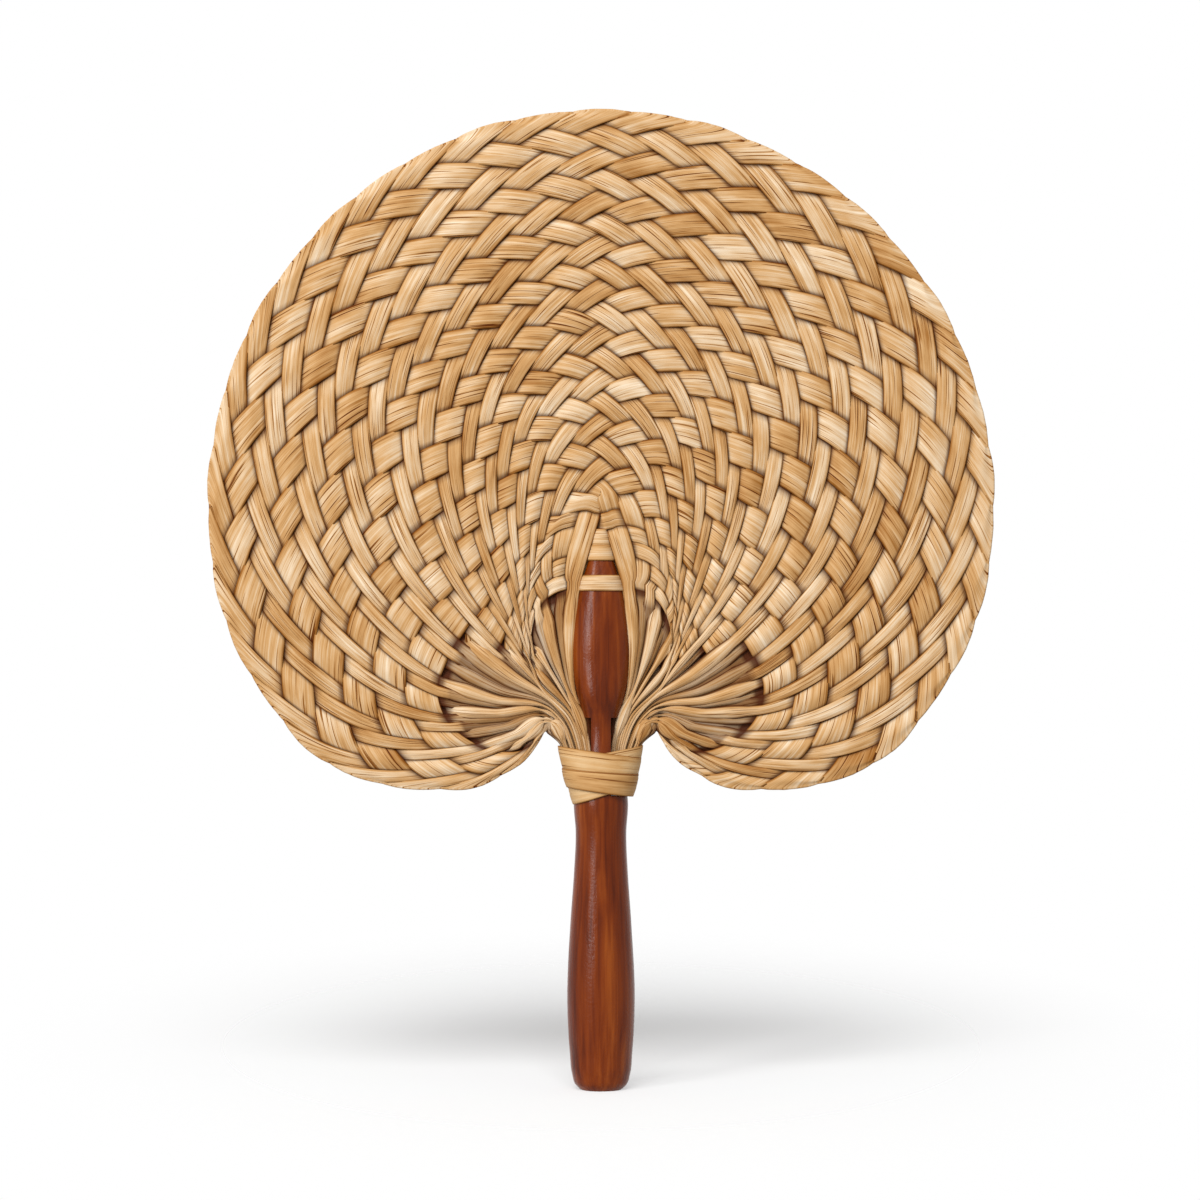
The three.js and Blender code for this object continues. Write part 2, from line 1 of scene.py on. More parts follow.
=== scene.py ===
# Palm leaf fan: dry leaf strips plaited round a turned wooden spike and bound at the neck, on a pale floor.
# Lengths are millimetres, and meshes are in metres. The front faces -Y, and depth counts to the front.
import math
import bpy
import numpy as np
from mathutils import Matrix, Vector


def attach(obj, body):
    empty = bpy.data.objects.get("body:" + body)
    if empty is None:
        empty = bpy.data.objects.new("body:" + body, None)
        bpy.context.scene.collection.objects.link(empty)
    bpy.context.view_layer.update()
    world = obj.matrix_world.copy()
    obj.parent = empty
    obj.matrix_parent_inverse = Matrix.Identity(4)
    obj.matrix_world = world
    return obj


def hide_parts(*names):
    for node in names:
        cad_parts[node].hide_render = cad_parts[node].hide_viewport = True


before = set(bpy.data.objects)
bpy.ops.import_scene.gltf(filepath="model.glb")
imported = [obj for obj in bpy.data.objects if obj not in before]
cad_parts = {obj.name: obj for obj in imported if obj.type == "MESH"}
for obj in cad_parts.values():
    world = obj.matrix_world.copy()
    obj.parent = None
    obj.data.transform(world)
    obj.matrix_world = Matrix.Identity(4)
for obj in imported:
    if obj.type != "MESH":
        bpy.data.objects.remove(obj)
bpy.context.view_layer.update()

MM = 0.001
TINY = 1e-6

# Handle
BUTT_RADIUS = 8.6
BUTT_EDGE_Z = 1.6
BUTT_EDGE_ROUND = 1.7
BUTT_FLARE_Z = 6
GRIP_LOW_Z = 15
GRIP_SWELL_RADIUS = 13.9
GRIP_SWELL_Z = 36
GRIP_WAIST_RADIUS = 10.5
GRIP_WAIST_Z = 106
COLLAR_RADIUS = 11.2
COLLAR_Z = 118
NOTCH_BOTTOM_Z = 121
SHOULDER_RADIUS = 7.2
SHOULDER_Z = 153
TONGUE_WIDTH = 8.2
SPIKE_BULGE_RADIUS = 11.9
SPIKE_BULGE_Z = 178
SPIKE_STRAP_RADIUS = 8.6
SPIKE_STRAP_DROP = 3  # from the lowest strap down to where the spike has that radius
SPIKE_TIP_RADIUS = 1.2
SPIKE_TIP_SWELL = 1.5
SPIKE_TIP_ROUND = 1
SPIKE_TIP_Z = 231
SPIKE_FLATNESS = 0.65  # depth of the spike over its width
HANDLE_SIDES = 120
HANDLE_STEP = 1.2
BUTT_LEVELS = (0.0, 0.35)
FIRST_STEP_Z = 0.9
LAST_LEVEL_DROP = 0.3
NOTCH_EDGE = 0.02  # half height of the steps at both ends of the notches
NOTCH_EDGE_ROOM = 0.5
SHARP_DEGREES = 40
DENT_DEPTH = 0.05
DENT_LENGTH = 21
DENT_WAVES = 6
DENT_SEED = 7

# Blade: the rim is round, and drawn in under the two lobes towards the neck
BLADE_RADIUS = 159.5
BLADE_CENTRE_Z = 242.7
RIM_ANGLES = (90, 130, 170, 210, 225, 238, 250, 254, 256.4)
RIM_SHARES = (1, 1, 1.005, 1, 0.968, 0.873, 0.75, 0.68, 0.6)  # radius there over BLADE_RADIUS
RIM_STEPS = 240

# Plait: strips of two families cross on rings round the spike
RINGS = 40
SPIKE_ROWS = 6  # strips that cross the middle line below the eye of the plait
STRAP_ROWS = 4  # the lowest of them, which end in the neck and never reach the rim
TOP_ROW = (RINGS + SPIKE_ROWS) // 2
LOWEST_RIM_ROW = STRAP_ROWS - 0.7
LOWEST_ROW_POWER = 1.5
NECK_ROW_ROUNDS = 8
FLOAT = 2  # crossings that a strip passes over, and then under
STRIP_FILL = 1.05  # share of its pitch that a strip covers
STRIP_THICKNESS = 0.38
WIDTH_WAVER = 0.05
WIDTH_WAVER_STEP = 1.7  # crossings
RETURN_SEED = 100
WEAVE_LIFT = 1.05
CUP = 0.5
STEPS_PER_CROSSING = 8
ACROSS = 13

# Folds at the rim
FOLD_START = 0.6  # crossings before the fold
FOLD_RADIUS = 0.62
FOLD_BULGE = 0.8
FOLD_UNEVEN = 0.5
FOLD_UNEVEN_TURN = 2.4
FOLD_STEPS = 8
CREASE_FILL = 1.14
CREASE_STEPS = 9

# Corner between the lowest strap and the first upright strip, and how strips spread from it, as x and z
STRAP_Z = 209
EYE_Z = 247
STRAP_CORNER_GAP = 2.7
STRAP_CORNER = np.array((-(SPIKE_STRAP_RADIUS + STRAP_CORNER_GAP), STRAP_Z))
STRAP_SPREAD = np.array((-2.2, 3.3))
STRAP_DOWN = np.array((0.2, 6.0))
EYE_SIDE = np.array((44, 30))

# Rings inside the rim, from the neck side to the middle line, as x and z
RING_SHARES = (0, 0.15, 0.35, 0.6, 0.8, 1)
RING_NUMBERS = (SPIKE_ROWS, 10, 18, 28, RINGS)
EYE_RING = ((-29, 188.5), (-29.8, 197), (-28.7, 209), (-23.2, 226), (-14.5, 238.5), (0, EYE_Z))
INNER_RING_RISE = 18.3  # above the eye
INNER_RING_TOP = (0, EYE_Z + INNER_RING_RISE)
INNER_RING = ((-27, 172), (-31.5, 187), (-33.5, 208), (-30.5, 235.8), (-20, 256.3), INNER_RING_TOP)

# The outer two start beside the shoulder and go on in shares of the blade's radius from its centre
MIDDLE_RING_START = (-20.2, SHOULDER_Z + 6.3)
MIDDLE_RING = ((-0.224, -0.426), (-0.332, -0.223), (-0.337, 0.072), (-0.216, 0.278), (0, 0.371))
WIDE_RING_START = (-21.4, SHOULDER_Z + 1.2)
WIDE_RING = ((-0.399, -0.519), (-0.617, -0.236), (-0.599, 0.226), (-0.357, 0.514), (0, 0.658))

# Straps across the spike
STRAP_REACH = (8, 11, 14, 17)  # last strip that each strap is woven with
STRAP_EXITS = (20, 28, 32, 35)  # strips past which the others make room for a strap's end at the neck
STRAP_LEAVES = ((0.4, 0), (1.1, -0.3))  # crossings past its last one where a strap turns down
STRAP_ORDER_SHIFT = 0.6
STRAP_NARROW_LENGTH = 16
STRAP_SINK_LENGTH = 10
STRAP_END_DEPTH = 2.6
STRAP_END_HALF_WIDTH = 1.3
FRONT_STRAPS = (0, 2, 3)
STRAP_ROOM = 0.45
STRAP_CUP = 0.25
STRAP_WRAP_START = 0.06  # share of the half turn round the spike
STRAP_STEPS = 25

# Gathered ends beside and below the spike
GATHER_LAYERS = 3
LAYER_PITCH = 1.15
GATHER_STEPS = 44
GATHER_LENGTH = 14
SQUARE_LENGTH = 10
WIDEN_LENGTHS = (14, 9)  # away from the spike, and beside it
BESIDE_SPIKE_RISE = 4
STRIP_HALF_WIDTH = 3.3
STRAND_HALF_SHARES = (1.1, 1.0, 1.0)
STRAND_LEAST = 0.45
NOTCH_STRANDS = (1, 2)
NOTCH_HALF_WIDTH = 1.6
PLEAT_HEIGHT = 1.4
PLEAT_STEEPNESS = 0.75
PLEAT_POWER = 1.6
SPIKE_FOOT_Z = 164
BULGE_CLEAR = 1.0
BULGE_PITCH = 1.95
FOOT_CLEAR = 0.9
FOOT_PITCH = 0.8
TONGUE_CLEAR = 0.8
NOTCH_CLEAR = 1.2
SHOULDER_CLEAR = 0.6
INNER_SHOULDER_RISE = 0.5
OUTER_SHOULDER_DROP = 2
GATHER_HALF_WIDTH = 22.3
GATHER_END_HALF_WIDTH = 12.4
GATHER_END_Z = 128

# Neck binding
BINDING_TOP_Z = 141.6
BINDING_BOTTOM_Z = 117.9
BINDING_TOP_HALF_WIDTH = 17.3
BINDING_TOP_DEPTH = 8.6
BINDING_INSET = 0.9
BINDING_GAP = 0.4
BAND_THICKNESS = 0.45
BAND_SPACING = 1.1
BAND_CUP = 0.25
BAND_SIDES = 160
BAND_ACROSS = 15
BAND_ROUNDS = 4
BAND_FIRST_SPREAD = 4

# Bands of the binding: layer, then height in the middle and slope of the top edge and of the bottom edge
BANDS = (
    (0, 127.5, 0.05, 120.8, 0.31),
    (0, 138.3, 0.19, 129.0, 0.1),
    (1, 138.9, -0.14, 129.5, -0.1),
    (2, 131.0, -0.075, 122.4, -0.14),
)

# Leaf surface: ridges along a strip, and its tone
STRIP_SEED = 11
BAND_SEED = 90
STRIP_RIDGE = 0.07
BAND_RIDGE = 0.05
RIDGE_STEP = 28
RIDGE_WAVER = 0.6
EDGE_RIDGE = 0.3
LEAST_RIDGE = 0.15
FULL_RIDGE_WIDTH = 6
EDGE_THINNING = 0.55
EDGE_THINNING_POWER = 4
LEAST_NORMAL = 1e-9
OWN_TONE = 0.5
TONE_WAVES = ((0.35, 60), (0.25, 17))  # height and length
PATTERN_HALF_WIDTH = 3.5
PATTERN_SHIFT_ACROSS = 17.3
PATTERN_SHIFT_ALONG = 131.7

# Painted shade in the gaps: how clear a surface stands of the strips round it, and so how dark its colour is
# painted there
CLEAR = 1.05
GAP_RISE = 0.58
LAYERS_CLEAR = (0.66, 0.34, 0.22)
UNCOVER_LENGTH = 5
EDGE_GLOOM = 0.95
EDGE_GLOOM_START = 0.5
NOTCH_CLEAR_SHARE = 0.1
NOTCH_GLOOM_DROP = 2
NOTCH_GLOOM_LENGTH = 8

# Leaf colours, as 8-bit values, and its noises, with scales across and along a strip
# painted shade in the gaps: its strength, and the dark brown that the leaf colour goes towards
GAP_SHADE = 0.97
GAP_SHADE_COLOUR = (64, 20, 0)
LEAF_STOPS = (
    (0.02, (88, 40, 4)),
    (0.26, (146, 94, 38)),
    (0.5, (191, 148, 97)),
    (0.68, (211, 183, 148)),
    (0.86, (231, 214, 190)),
)
BINDING_STOPS = (
    (0.02, (110, 64, 26)),
    (0.26, (160, 113, 61)),
    (0.5, (191, 150, 100)),
    (0.68, (203, 171, 128)),
    (0.88, (220, 198, 165)),
)
LEAF_STREAKS = 0.45
BINDING_STREAKS = 0.3
FIBRE_SCALES = (4.2, 0.05)
STRIPE_SCALES = (1.1, 0.018)
BLOTCH_SCALES = (0.16, 0.05)
SLIT_SCALES = (2.3, 0.03)
STREAK_DETAIL = 3.0
SLIT_DETAIL = 1.0
SLIT_SPAN = (0.27, 0.34)
MEAN_TONE = 0.53
STRIP_TONE = 0.15
FIBRE_TONE = 0.8
BLOTCH_TONE = 0.42
# painted shade along a strip's edges, where they meet the grooves between strips: its strength, and how
# narrow a band it covers
EDGE_SHADE_TONE = 0.36
EDGE_SHADE_POWER = 9.0
SLIT_TONE = 0.45
NOISE_SPAN = (0.3, 0.7)
LEAF_ROUGHNESS = (0.6, 0.45)
LEAF_SPECULAR = 0.07
LEAF_BUMP = 0.55
LEAF_BUMP_DEPTH = 0.22
STRIPE_HEIGHT = 0.8
SLIT_HEIGHT = 1.5

# Wood colours, as 8-bit values, and its noises, with scales per metre
WOOD_STOPS = (
    (0.32, (62, 17, 0)),
    (0.45, (95, 34, 1)),
    (0.54, (111, 45, 4)),
    (0.68, (133, 63, 15)),
)
GRAIN_SCALES = (430.0, 430.0, 11.0)
GRAIN_DETAIL = 6.0
GRAIN_DISTORTION = 0.4
GRAIN_TONE = 0.55
FIGURE_SCALES = (80.0, 80.0, 17.0)
FIGURE_DETAIL = 3.0
FIGURE_DISTORTION = 0.8
FIGURE_TONE = 0.45
PORE_SCALES = (900.0, 900.0, 60.0)
PORE_DETAIL = 2.0
PORE_HEIGHT = 0.6
SPECK_SCALE = 850.0
SPECK_DETAIL = 2.0
WOOD_ROUGHNESS = (0.2, 0.33)
WOOD_SPECULAR = 0.13
COAT_WEIGHT = 0.05
COAT_ROUGHNESS = 0.2
WOOD_BUMP = 0.5
WOOD_BUMP_DEPTH = 0.2

# Floor, which fades into the white surround over an oval; the fade counts in metres
FLOOR_SIZE = 6000
FLOOR_COLOUR = (0.9, 0.9, 0.9, 1)
FLOOR_ROUGHNESS = 0.7
FLOOR_SPECULAR = 0.04
FADE_SHIFT = (0, -0.11, 0)
FADE_SCALE = (1, 0.55, 1)
FADE_SPAN = (-0.07, 0.3)

# Light: strength of the surround on the fan, and lamps with place, aim, size in metres, and watts
SURROUND_COLOUR = (1, 1, 1, 1)
SURROUND_LIGHT = 0.42
LAMPS = (
    ("key", (-1.9, -2.4, 1.0), (0, 0, 0.22), 0.9, 1.6, 66),
    ("top", (-0.3, -3.2, 3.5), (0, 0.1, 0.2), 2.2, 2.2, 142),
)

# Camera
CAMERA_SHIFT = -0.4
CAMERA_DISTANCE = 1500
CAMERA_HEIGHT = 201.4
FRAME_WIDTH = 494.5
SENSOR_WIDTH = 36
CLIP_NEAR = 50
CLIP_FAR = 20000

# Places across a strip from edge to edge, an arch over them, and the depth of a strip in front
S = np.linspace(-1, 1, ACROSS)
ARCH = 1 - S ** 2
CUPPED = WEAVE_LIFT + CUP * ARCH


def mix(start, end, t):
    return start + (end - start) * t


def smooth(t):
    t = np.clip(t, 0, 1)
    return t * t * (3 - 2 * t)


def curve_at(knots, points, t, end_slope=None):
    """Smooth curve through points at uneven knots, straight past its ends. Points may differ for each t."""
    knots = np.asarray(knots, float)
    points = np.asarray(points, float)
    t = np.atleast_1d(np.asarray(t, float))
    if points.ndim == 2:
        points = np.repeat(points[:, None, :], len(t), axis=1)
    gaps = np.diff(knots)
    wide = gaps[:, None, None]
    chord = np.diff(points, axis=0) / wide
    inner = (chord[:-1] * wide[1:] + chord[1:] * wide[:-1]) / (wide[1:] + wide[:-1])
    first = 1.5 * chord[:1] - 0.5 * inner[:1]
    last = 1.5 * chord[-1:] - 0.5 * inner[-1:]
    if end_slope is not None:
        last = np.zeros_like(last) + np.asarray(end_slope, float)
    slope = np.concatenate([first, inner, last])
    i = np.clip(np.searchsorted(knots, t) - 1, 0, len(gaps) - 1)
    each = np.arange(len(t))
    gap = gaps[i][:, None]
    s = (t - knots[i])[:, None] / gap
    u = np.clip(s, 0, 1)
    start, end = points[i, each], points[i + 1, each]
    leave, arrive = slope[i, each] * gap, slope[i + 1, each] * gap
    inside = start + smooth(u) * (end - start) + u * (1 - u) ** 2 * leave + u * u * (u - 1) * arrive
    return inside + np.minimum(s, 0) * leave + np.maximum(s - 1, 0) * arrive


# Outline of the turned handle, as height and radius
PROFILE = (
    (0, BUTT_RADIUS),
    (BUTT_EDGE_Z, BUTT_RADIUS + BUTT_EDGE_ROUND),
    (BUTT_FLARE_Z, mix(BUTT_RADIUS, GRIP_SWELL_RADIUS, 0.62)),
    (GRIP_LOW_Z, mix(BUTT_RADIUS, GRIP_SWELL_RADIUS, 0.8)),
    (GRIP_SWELL_Z, GRIP_SWELL_RADIUS),
    (mix(GRIP_SWELL_Z, GRIP_WAIST_Z, 0.47), mix(GRIP_SWELL_RADIUS, GRIP_WAIST_RADIUS, 0.4)),
    (mix(GRIP_SWELL_Z, GRIP_WAIST_Z, 0.76), mix(GRIP_SWELL_RADIUS, GRIP_WAIST_RADIUS, 0.82)),
    (GRIP_WAIST_Z, GRIP_WAIST_RADIUS),
    (COLLAR_Z, COLLAR_RADIUS),
    (mix(COLLAR_Z, SHOULDER_Z, 0.25), mix(COLLAR_RADIUS, SHOULDER_RADIUS, 0.25)),
    (SHOULDER_Z, SHOULDER_RADIUS),
    (mix(SHOULDER_Z, SPIKE_BULGE_Z, 0.4), mix(SHOULDER_RADIUS, SPIKE_BULGE_RADIUS, 0.62)),
    (SPIKE_BULGE_Z, SPIKE_BULGE_RADIUS),
    (mix(SPIKE_BULGE_Z, STRAP_Z, 0.45), mix(SPIKE_BULGE_RADIUS, SPIKE_STRAP_RADIUS, 0.25)),
    (STRAP_Z - SPIKE_STRAP_DROP, SPIKE_STRAP_RADIUS),
    (mix(STRAP_Z, SPIKE_TIP_Z, 0.5), mix(SPIKE_STRAP_RADIUS, SPIKE_TIP_RADIUS, 0.57)),
    (SPIKE_TIP_Z - SPIKE_TIP_ROUND, SPIKE_TIP_RADIUS * SPIKE_TIP_SWELL),
)


def handle_radius(z):
    return curve_at([p[0] for p in PROFILE], [[p[1]] for p in PROFILE], z)[:, 0]


def handle_depth(z):
    up = smooth((np.atleast_1d(z) - SHOULDER_Z) / (SPIKE_BULGE_Z - SHOULDER_Z))
    return handle_radius(z) * mix(1, SPIKE_FLATNESS, up)


def route_runs(route):
    """Length run along a route at each of its points."""
    return np.concatenate([[0], np.cumsum(np.linalg.norm(np.diff(route, axis=0), axis=1))])


def rim_table():
    """Rim of the left half from the neck to the top, with the share of its length run at each point."""
    degrees = np.linspace(RIM_ANGLES[-1], RIM_ANGLES[0], RIM_STEPS + 1)
    share = curve_at(RIM_ANGLES, [[v] for v in RIM_SHARES], degrees)[:, 0]
    angle = np.radians(degrees)
    points = np.stack([np.cos(angle), np.sin(angle)], axis=1) * (share * BLADE_RADIUS)[:, None]
    runs = route_runs(points)
    return points + (0, BLADE_CENTRE_Z), runs / runs[-1]


RIM_POINTS, RIM_RUNS = rim_table()


def rim_at(w):
    return np.stack([np.interp(w, RIM_RUNS, RIM_POINTS[:, c]) for c in (0, 1)], axis=1)


def blade_share(point):
    return (point[0] * BLADE_RADIUS, BLADE_CENTRE_Z + point[1] * BLADE_RADIUS)


RING_POINTS = (
    EYE_RING,
    INNER_RING,
    (MIDDLE_RING_START, *[blade_share(p) for p in MIDDLE_RING]),
    (WIDE_RING_START, *[blade_share(p) for p in WIDE_RING]),
)


def ring_row(row, w):
    """Places on one ring, which meets the middle line level."""
    level = -row[-2][0] / (1 - RING_SHARES[-2])
    return curve_at(RING_SHARES, row, w, (level, 0))


def ring_point(ring, w):
    rows = [ring_row(row, w) for row in RING_POINTS]
    return curve_at(RING_NUMBERS, np.stack([*rows, rim_at(w)]), ring)


def eye_point(a, b):
    """Below the eye the strips close in on the corner between the strap and the first upright strip."""
    out, up = np.maximum(a, 0), np.maximum(b, 0)
    ring = out + up
    eye = ring_row(RING_POINTS[0], up / np.maximum(ring, TINY))
    top = np.array((0, EYE_Z)) - STRAP_CORNER
    corner = STRAP_CORNER + out[:, None] * STRAP_SPREAD
    point = mix(corner, eye, (ring / SPIKE_ROWS)[:, None])
    point += np.maximum(-a, 0)[:, None] / SPIKE_ROWS * (EYE_SIDE - top)
    return point + np.minimum(b, 0)[:, None] * STRAP_DOWN


def lowest_row(ring):
    return LOWEST_RIM_ROW * np.maximum(0, ring / RINGS * 2 - 1) ** LOWEST_ROW_POWER


def highest_row(ring):
    return np.where(ring <= SPIKE_ROWS, ring, (ring + SPIKE_ROWS) / 2)


def plait_point(a, b):
    """Place of a crossing: a counts strips outwards from the spike, b those that cross them, upwards."""
    a, b = np.broadcast_arrays(np.asarray(a, float), np.asarray(b, float))
    shape = a.shape
    a, b = a.ravel(), b.ravel()
    turned = b > a + SPIKE_ROWS
    a, b = np.where(turned, b - SPIKE_ROWS, a), np.where(turned, a + SPIKE_ROWS, b)
    ring = a + b
    low, high = lowest_row(ring), highest_row(ring)
    span = high - low
    open_span = np.abs(span) > TINY
    w = np.where(open_span, (b - low) / np.where(open_span, span, 1), 0.5)
    point = np.where((ring <= SPIKE_ROWS)[:, None], eye_point(a, b), ring_point(ring, w))
    point[:, 0] = np.where(turned, -point[:, 0], point[:, 0])
    return point.reshape(*shape, 2)


def side(ring):
    return 1 if (RINGS - ring) % (2 * FLOAT) < FLOAT else -1


def surface(flat, depth, front=None, back=None):
    """Points of a strip's middle surface, with how clear its front and back stand of other strips."""
    depth = np.broadcast_to(depth, flat.shape[:2])
    front = np.broadcast_to(depth if front is None else front, depth.shape)
    back = np.broadcast_to(-depth if back is None else back, depth.shape)
    return np.stack([flat[..., 0], -depth, flat[..., 1], front, back], axis=-1)


def turned_back(part):
    """A part carried half a turn round the handle, in reverse order."""
    return (part[::-1] * (-1, -1, 1, 1, 1))[..., (0, 1, 2, 4, 3)]


class Waver:
    """Smooth random values along a length, the same on every run."""

    def __init__(self, seed):
        self.rng = np.random.default_rng(seed)

    def along(self, length, step):
        count = max(int(length[-1] / step), 1) + 2
        values = self.rng.uniform(-1, 1, count)
        place = length / step
        i = np.clip(place.astype(int), 0, count - 2)
        return mix(values[i], values[i + 1], smooth(place - i))


def waver_width(seed, along):
    """Uneven width of a strip along its crossings, true at both ends."""
    ends = smooth(np.minimum(along - along[0], along[-1] - along))
    return 1 + WIDTH_WAVER * ends * Waver(seed).along(along - along[0], WIDTH_WAVER_STEP)


def lift_at(along, first, last, sign):
    """Height share of a strip along its crossings: 1 in front, -1 behind, and rounded in between."""
    signs = [sign(ring) for ring in range(first, max(last, first + 2) + 1)]
    knots = [-0.5]
    heights = [0 if signs[0] == signs[1] != signs[2] else signs[0]]
    for i, (here, after) in enumerate(zip(signs, signs[1:])):
        if heights[-1] == 0 and here != after:
            knots.append(i)
            heights.append(here)
        knots.append(i + 0.5)
        heights.append((here + after) / 2)
    return np.sin(np.interp(along, knots, heights) * math.pi / 2)


def crossing_sign(family, tucks=(), face=1):
    """Side on which a strip passes each ring: by the twill, or as the face says at the rings in tucks."""
    return lambda ring: face if ring in tucks else family * side(ring)


def gather_order(a):
    """Place of a strip's end at the neck, counted outwards, with room for the ends of the straps."""
    return a + sum(1 for strap_exit in STRAP_EXITS if a > strap_exit)


def neck_row(a):
    """Row at which a strip leaves the plait on the neck side."""
    row = np.zeros(1)
    for _ in range(NECK_ROW_ROUNDS):
        row = lowest_row(a + row)
    return row[0]


def first_row(a):
    return next((row for row, reach in enumerate(STRAP_REACH) if a <= reach), STRAP_ROWS)


def leaving_rows(a, row):
    """Rows that a strip passes from its first crossing to the neck side of the plait."""
    start = row - 0.5
    exit_row = neck_row(a)
    if row > exit_row:
        return [start, mix(start, exit_row, 0.5), exit_row]
    return [start]


def gather_route(order, start, beside_spike):
    """Places that a strip's end passes on its way down into the binding."""
    t = order / RINGS
    inner = TONGUE_WIDTH / 2 + TONGUE_CLEAR
    shoulder = SHOULDER_RADIUS + SHOULDER_CLEAR
    if round(order) in NOTCH_STRANDS:
        shoulder = TONGUE_WIDTH / 2 + NOTCH_CLEAR
    route = list(start)
    if beside_spike:
        bulge = SPIKE_BULGE_RADIUS + BULGE_CLEAR + BULGE_PITCH * order
        foot = handle_radius(SPIKE_FOOT_Z)[0] + FOOT_CLEAR + FOOT_PITCH * order
        route += [(-bulge, SPIKE_BULGE_Z), (-foot, SPIKE_FOOT_Z)]
    shoulder_z = mix(SHOULDER_Z + INNER_SHOULDER_RISE, SHOULDER_Z - OUTER_SHOULDER_DROP, t)
    route.append((-mix(shoulder, GATHER_HALF_WIDTH, t), shoulder_z))
    route.append((-mix(inner, BINDING_TOP_HALF_WIDTH - BINDING_INSET, t), BINDING_TOP_Z))
    route.append((-mix(inner, GATHER_END_HALF_WIDTH, t), GATHER_END_Z))
    return np.array(route)


def route_across(middle, first, t):
    """Unit directions across a route: as given at its start, and square to the route further on."""
    way = np.gradient(middle, axis=0)
    way /= np.linalg.norm(way, axis=1)[:, None]
    square = np.stack([way[:, 1], -way[:, 0]], axis=1)
    square *= np.sign(square[0] @ first)
    across = mix(first / np.linalg.norm(first), square, smooth(t / SQUARE_LENGTH)[:, None])
    return across / np.linalg.norm(across, axis=1)[:, None]


def strand_half_width(order, spread, widening):
    """Half width of a strip's end: as woven at its first crossing, and then that of a strand."""
    woven = STRIP_FILL / 2 * spread
    share = STRAND_HALF_SHARES[order % GATHER_LAYERS]
    least = NOTCH_HALF_WIDTH if order in NOTCH_STRANDS else STRAND_LEAST
    strand = np.maximum(np.clip(STRIP_HALF_WIDTH, woven, share * spread), least)
    return mix(woven, strand, smooth(widening))


def strand_depth(order, half, first_depth, turn, gathered):
    """Depth of a strip's end: as woven at its first crossing, and then pleated in its own layer."""
    layer_depth = turn * LAYER_PITCH * ((GATHER_LAYERS - 1) / 2 - order % GATHER_LAYERS)
    depth = mix(first_depth * WEAVE_LIFT, layer_depth, gathered)
    pleat = turn * np.minimum(PLEAT_STEEPNESS * half, PLEAT_HEIGHT)
    pleat = mix(CUP * first_depth, pleat, gathered)
    return depth[:, None] + pleat[:, None] * (1 - np.abs(S[None, :]) ** PLEAT_POWER)


def strand_clear(order, z, first_depth, turn, leaving):
    """How clear a strip's end stands in front and behind, for its painted shade: less in deep layers, at
    edges and in the notch.
    """
    layer = order % GATHER_LAYERS
    # Painted shade along the strand's edges and in the notch below the shoulder, and more of it in the
    # deeper layers.
    lit = 1 - EDGE_GLOOM * smooth((np.abs(S[None, :]) - EDGE_GLOOM_START) / (1 - EDGE_GLOOM_START))
    if order in NOTCH_STRANDS:
        above = (z[:, None] - SHOULDER_Z + NOTCH_GLOOM_DROP) / NOTCH_GLOOM_LENGTH
        lit = lit * mix(NOTCH_CLEAR_SHARE, 1, smooth(above))
    front, back = [LAYERS_CLEAR[layer] * lit, LAYERS_CLEAR[-1 - layer] * lit][::turn]
    woven = first_depth * WEAVE_LIFT
    return mix(woven, front, leaving), mix(-woven, back, leaving)


def gathered_end(a, row, first_depth, turn):
    """A strip's end from the binding up to its first crossing: a pleated strand that widens to the strip."""
    order = gather_order(a)
    rows = leaving_rows(a, row)
    beside_spike = bool(plait_point(a, rows[-1])[1] > SPIKE_BULGE_Z + BESIDE_SPIKE_RISE)

    def route_at(shift):
        start = [plait_point(a + shift, value) for value in rows]
        return gather_route(order + shift, start, beside_spike)

    centre = route_at(0)
    runs = route_runs(centre)
    t = np.linspace(0, runs[-1], GATHER_STEPS)
    middle = curve_at(runs, centre, t)
    pitch = curve_at(runs, route_at(0.5), t) - curve_at(runs, route_at(-0.5), t)
    across = route_across(middle, pitch[0], t)
    spread = np.abs((pitch * across).sum(axis=1))
    half = strand_half_width(order, spread, t / WIDEN_LENGTHS[beside_spike])
    flat = middle[:, None, :] - (S[None, :, None] * half[:, None, None]) * across[:, None, :]
    depth = strand_depth(order, half, first_depth, turn, smooth(t / GATHER_LENGTH))
    leaving = smooth(t / UNCOVER_LENGTH)[:, None]
    front, back = strand_clear(order, middle[:, 1], first_depth, turn, leaving)
    return surface(flat, depth, front, back)[::-1]


def crossing_steps(count):
    """Steps along a number of crossings, from half of one before the first to the start of the fold."""
    return np.linspace(-0.5, count - FOLD_START, int(count * STEPS_PER_CROSSING) + 1)


def outgoing_part(a, last_row, turn):
    """From the binding to the crossing before the fold at the rim."""
    start = first_row(a)
    along = crossing_steps(last_row - start)
    share = lift_at(along, a + start, a + last_row, crossing_sign(1))
    half = STRIP_FILL / 2 * waver_width(a, along)
    flat = plait_point(a - S[None, :] * half[:, None], start + along[:, None])
    woven = surface(flat, share[:, None] * CUPPED)
    return np.concatenate([gathered_end(a, start, share[0], turn)[:-1], woven])


def returning_part(b, first_a, last_a, tucks=(), face=1):
    """From the fold back along the other family to past its last crossing, and its height share there."""
    along = crossing_steps(last_a - first_a)
    share = lift_at(along, first_a + b, last_a + b, crossing_sign(-1, tucks, face))
    half = STRIP_FILL / 2 * waver_width(RETURN_SEED + b, along)
    flat = plait_point(first_a + along[:, None], b + S[None, :] * half[:, None])
    return surface(flat, share[:, None] * CUPPED)[::-1], share[0]


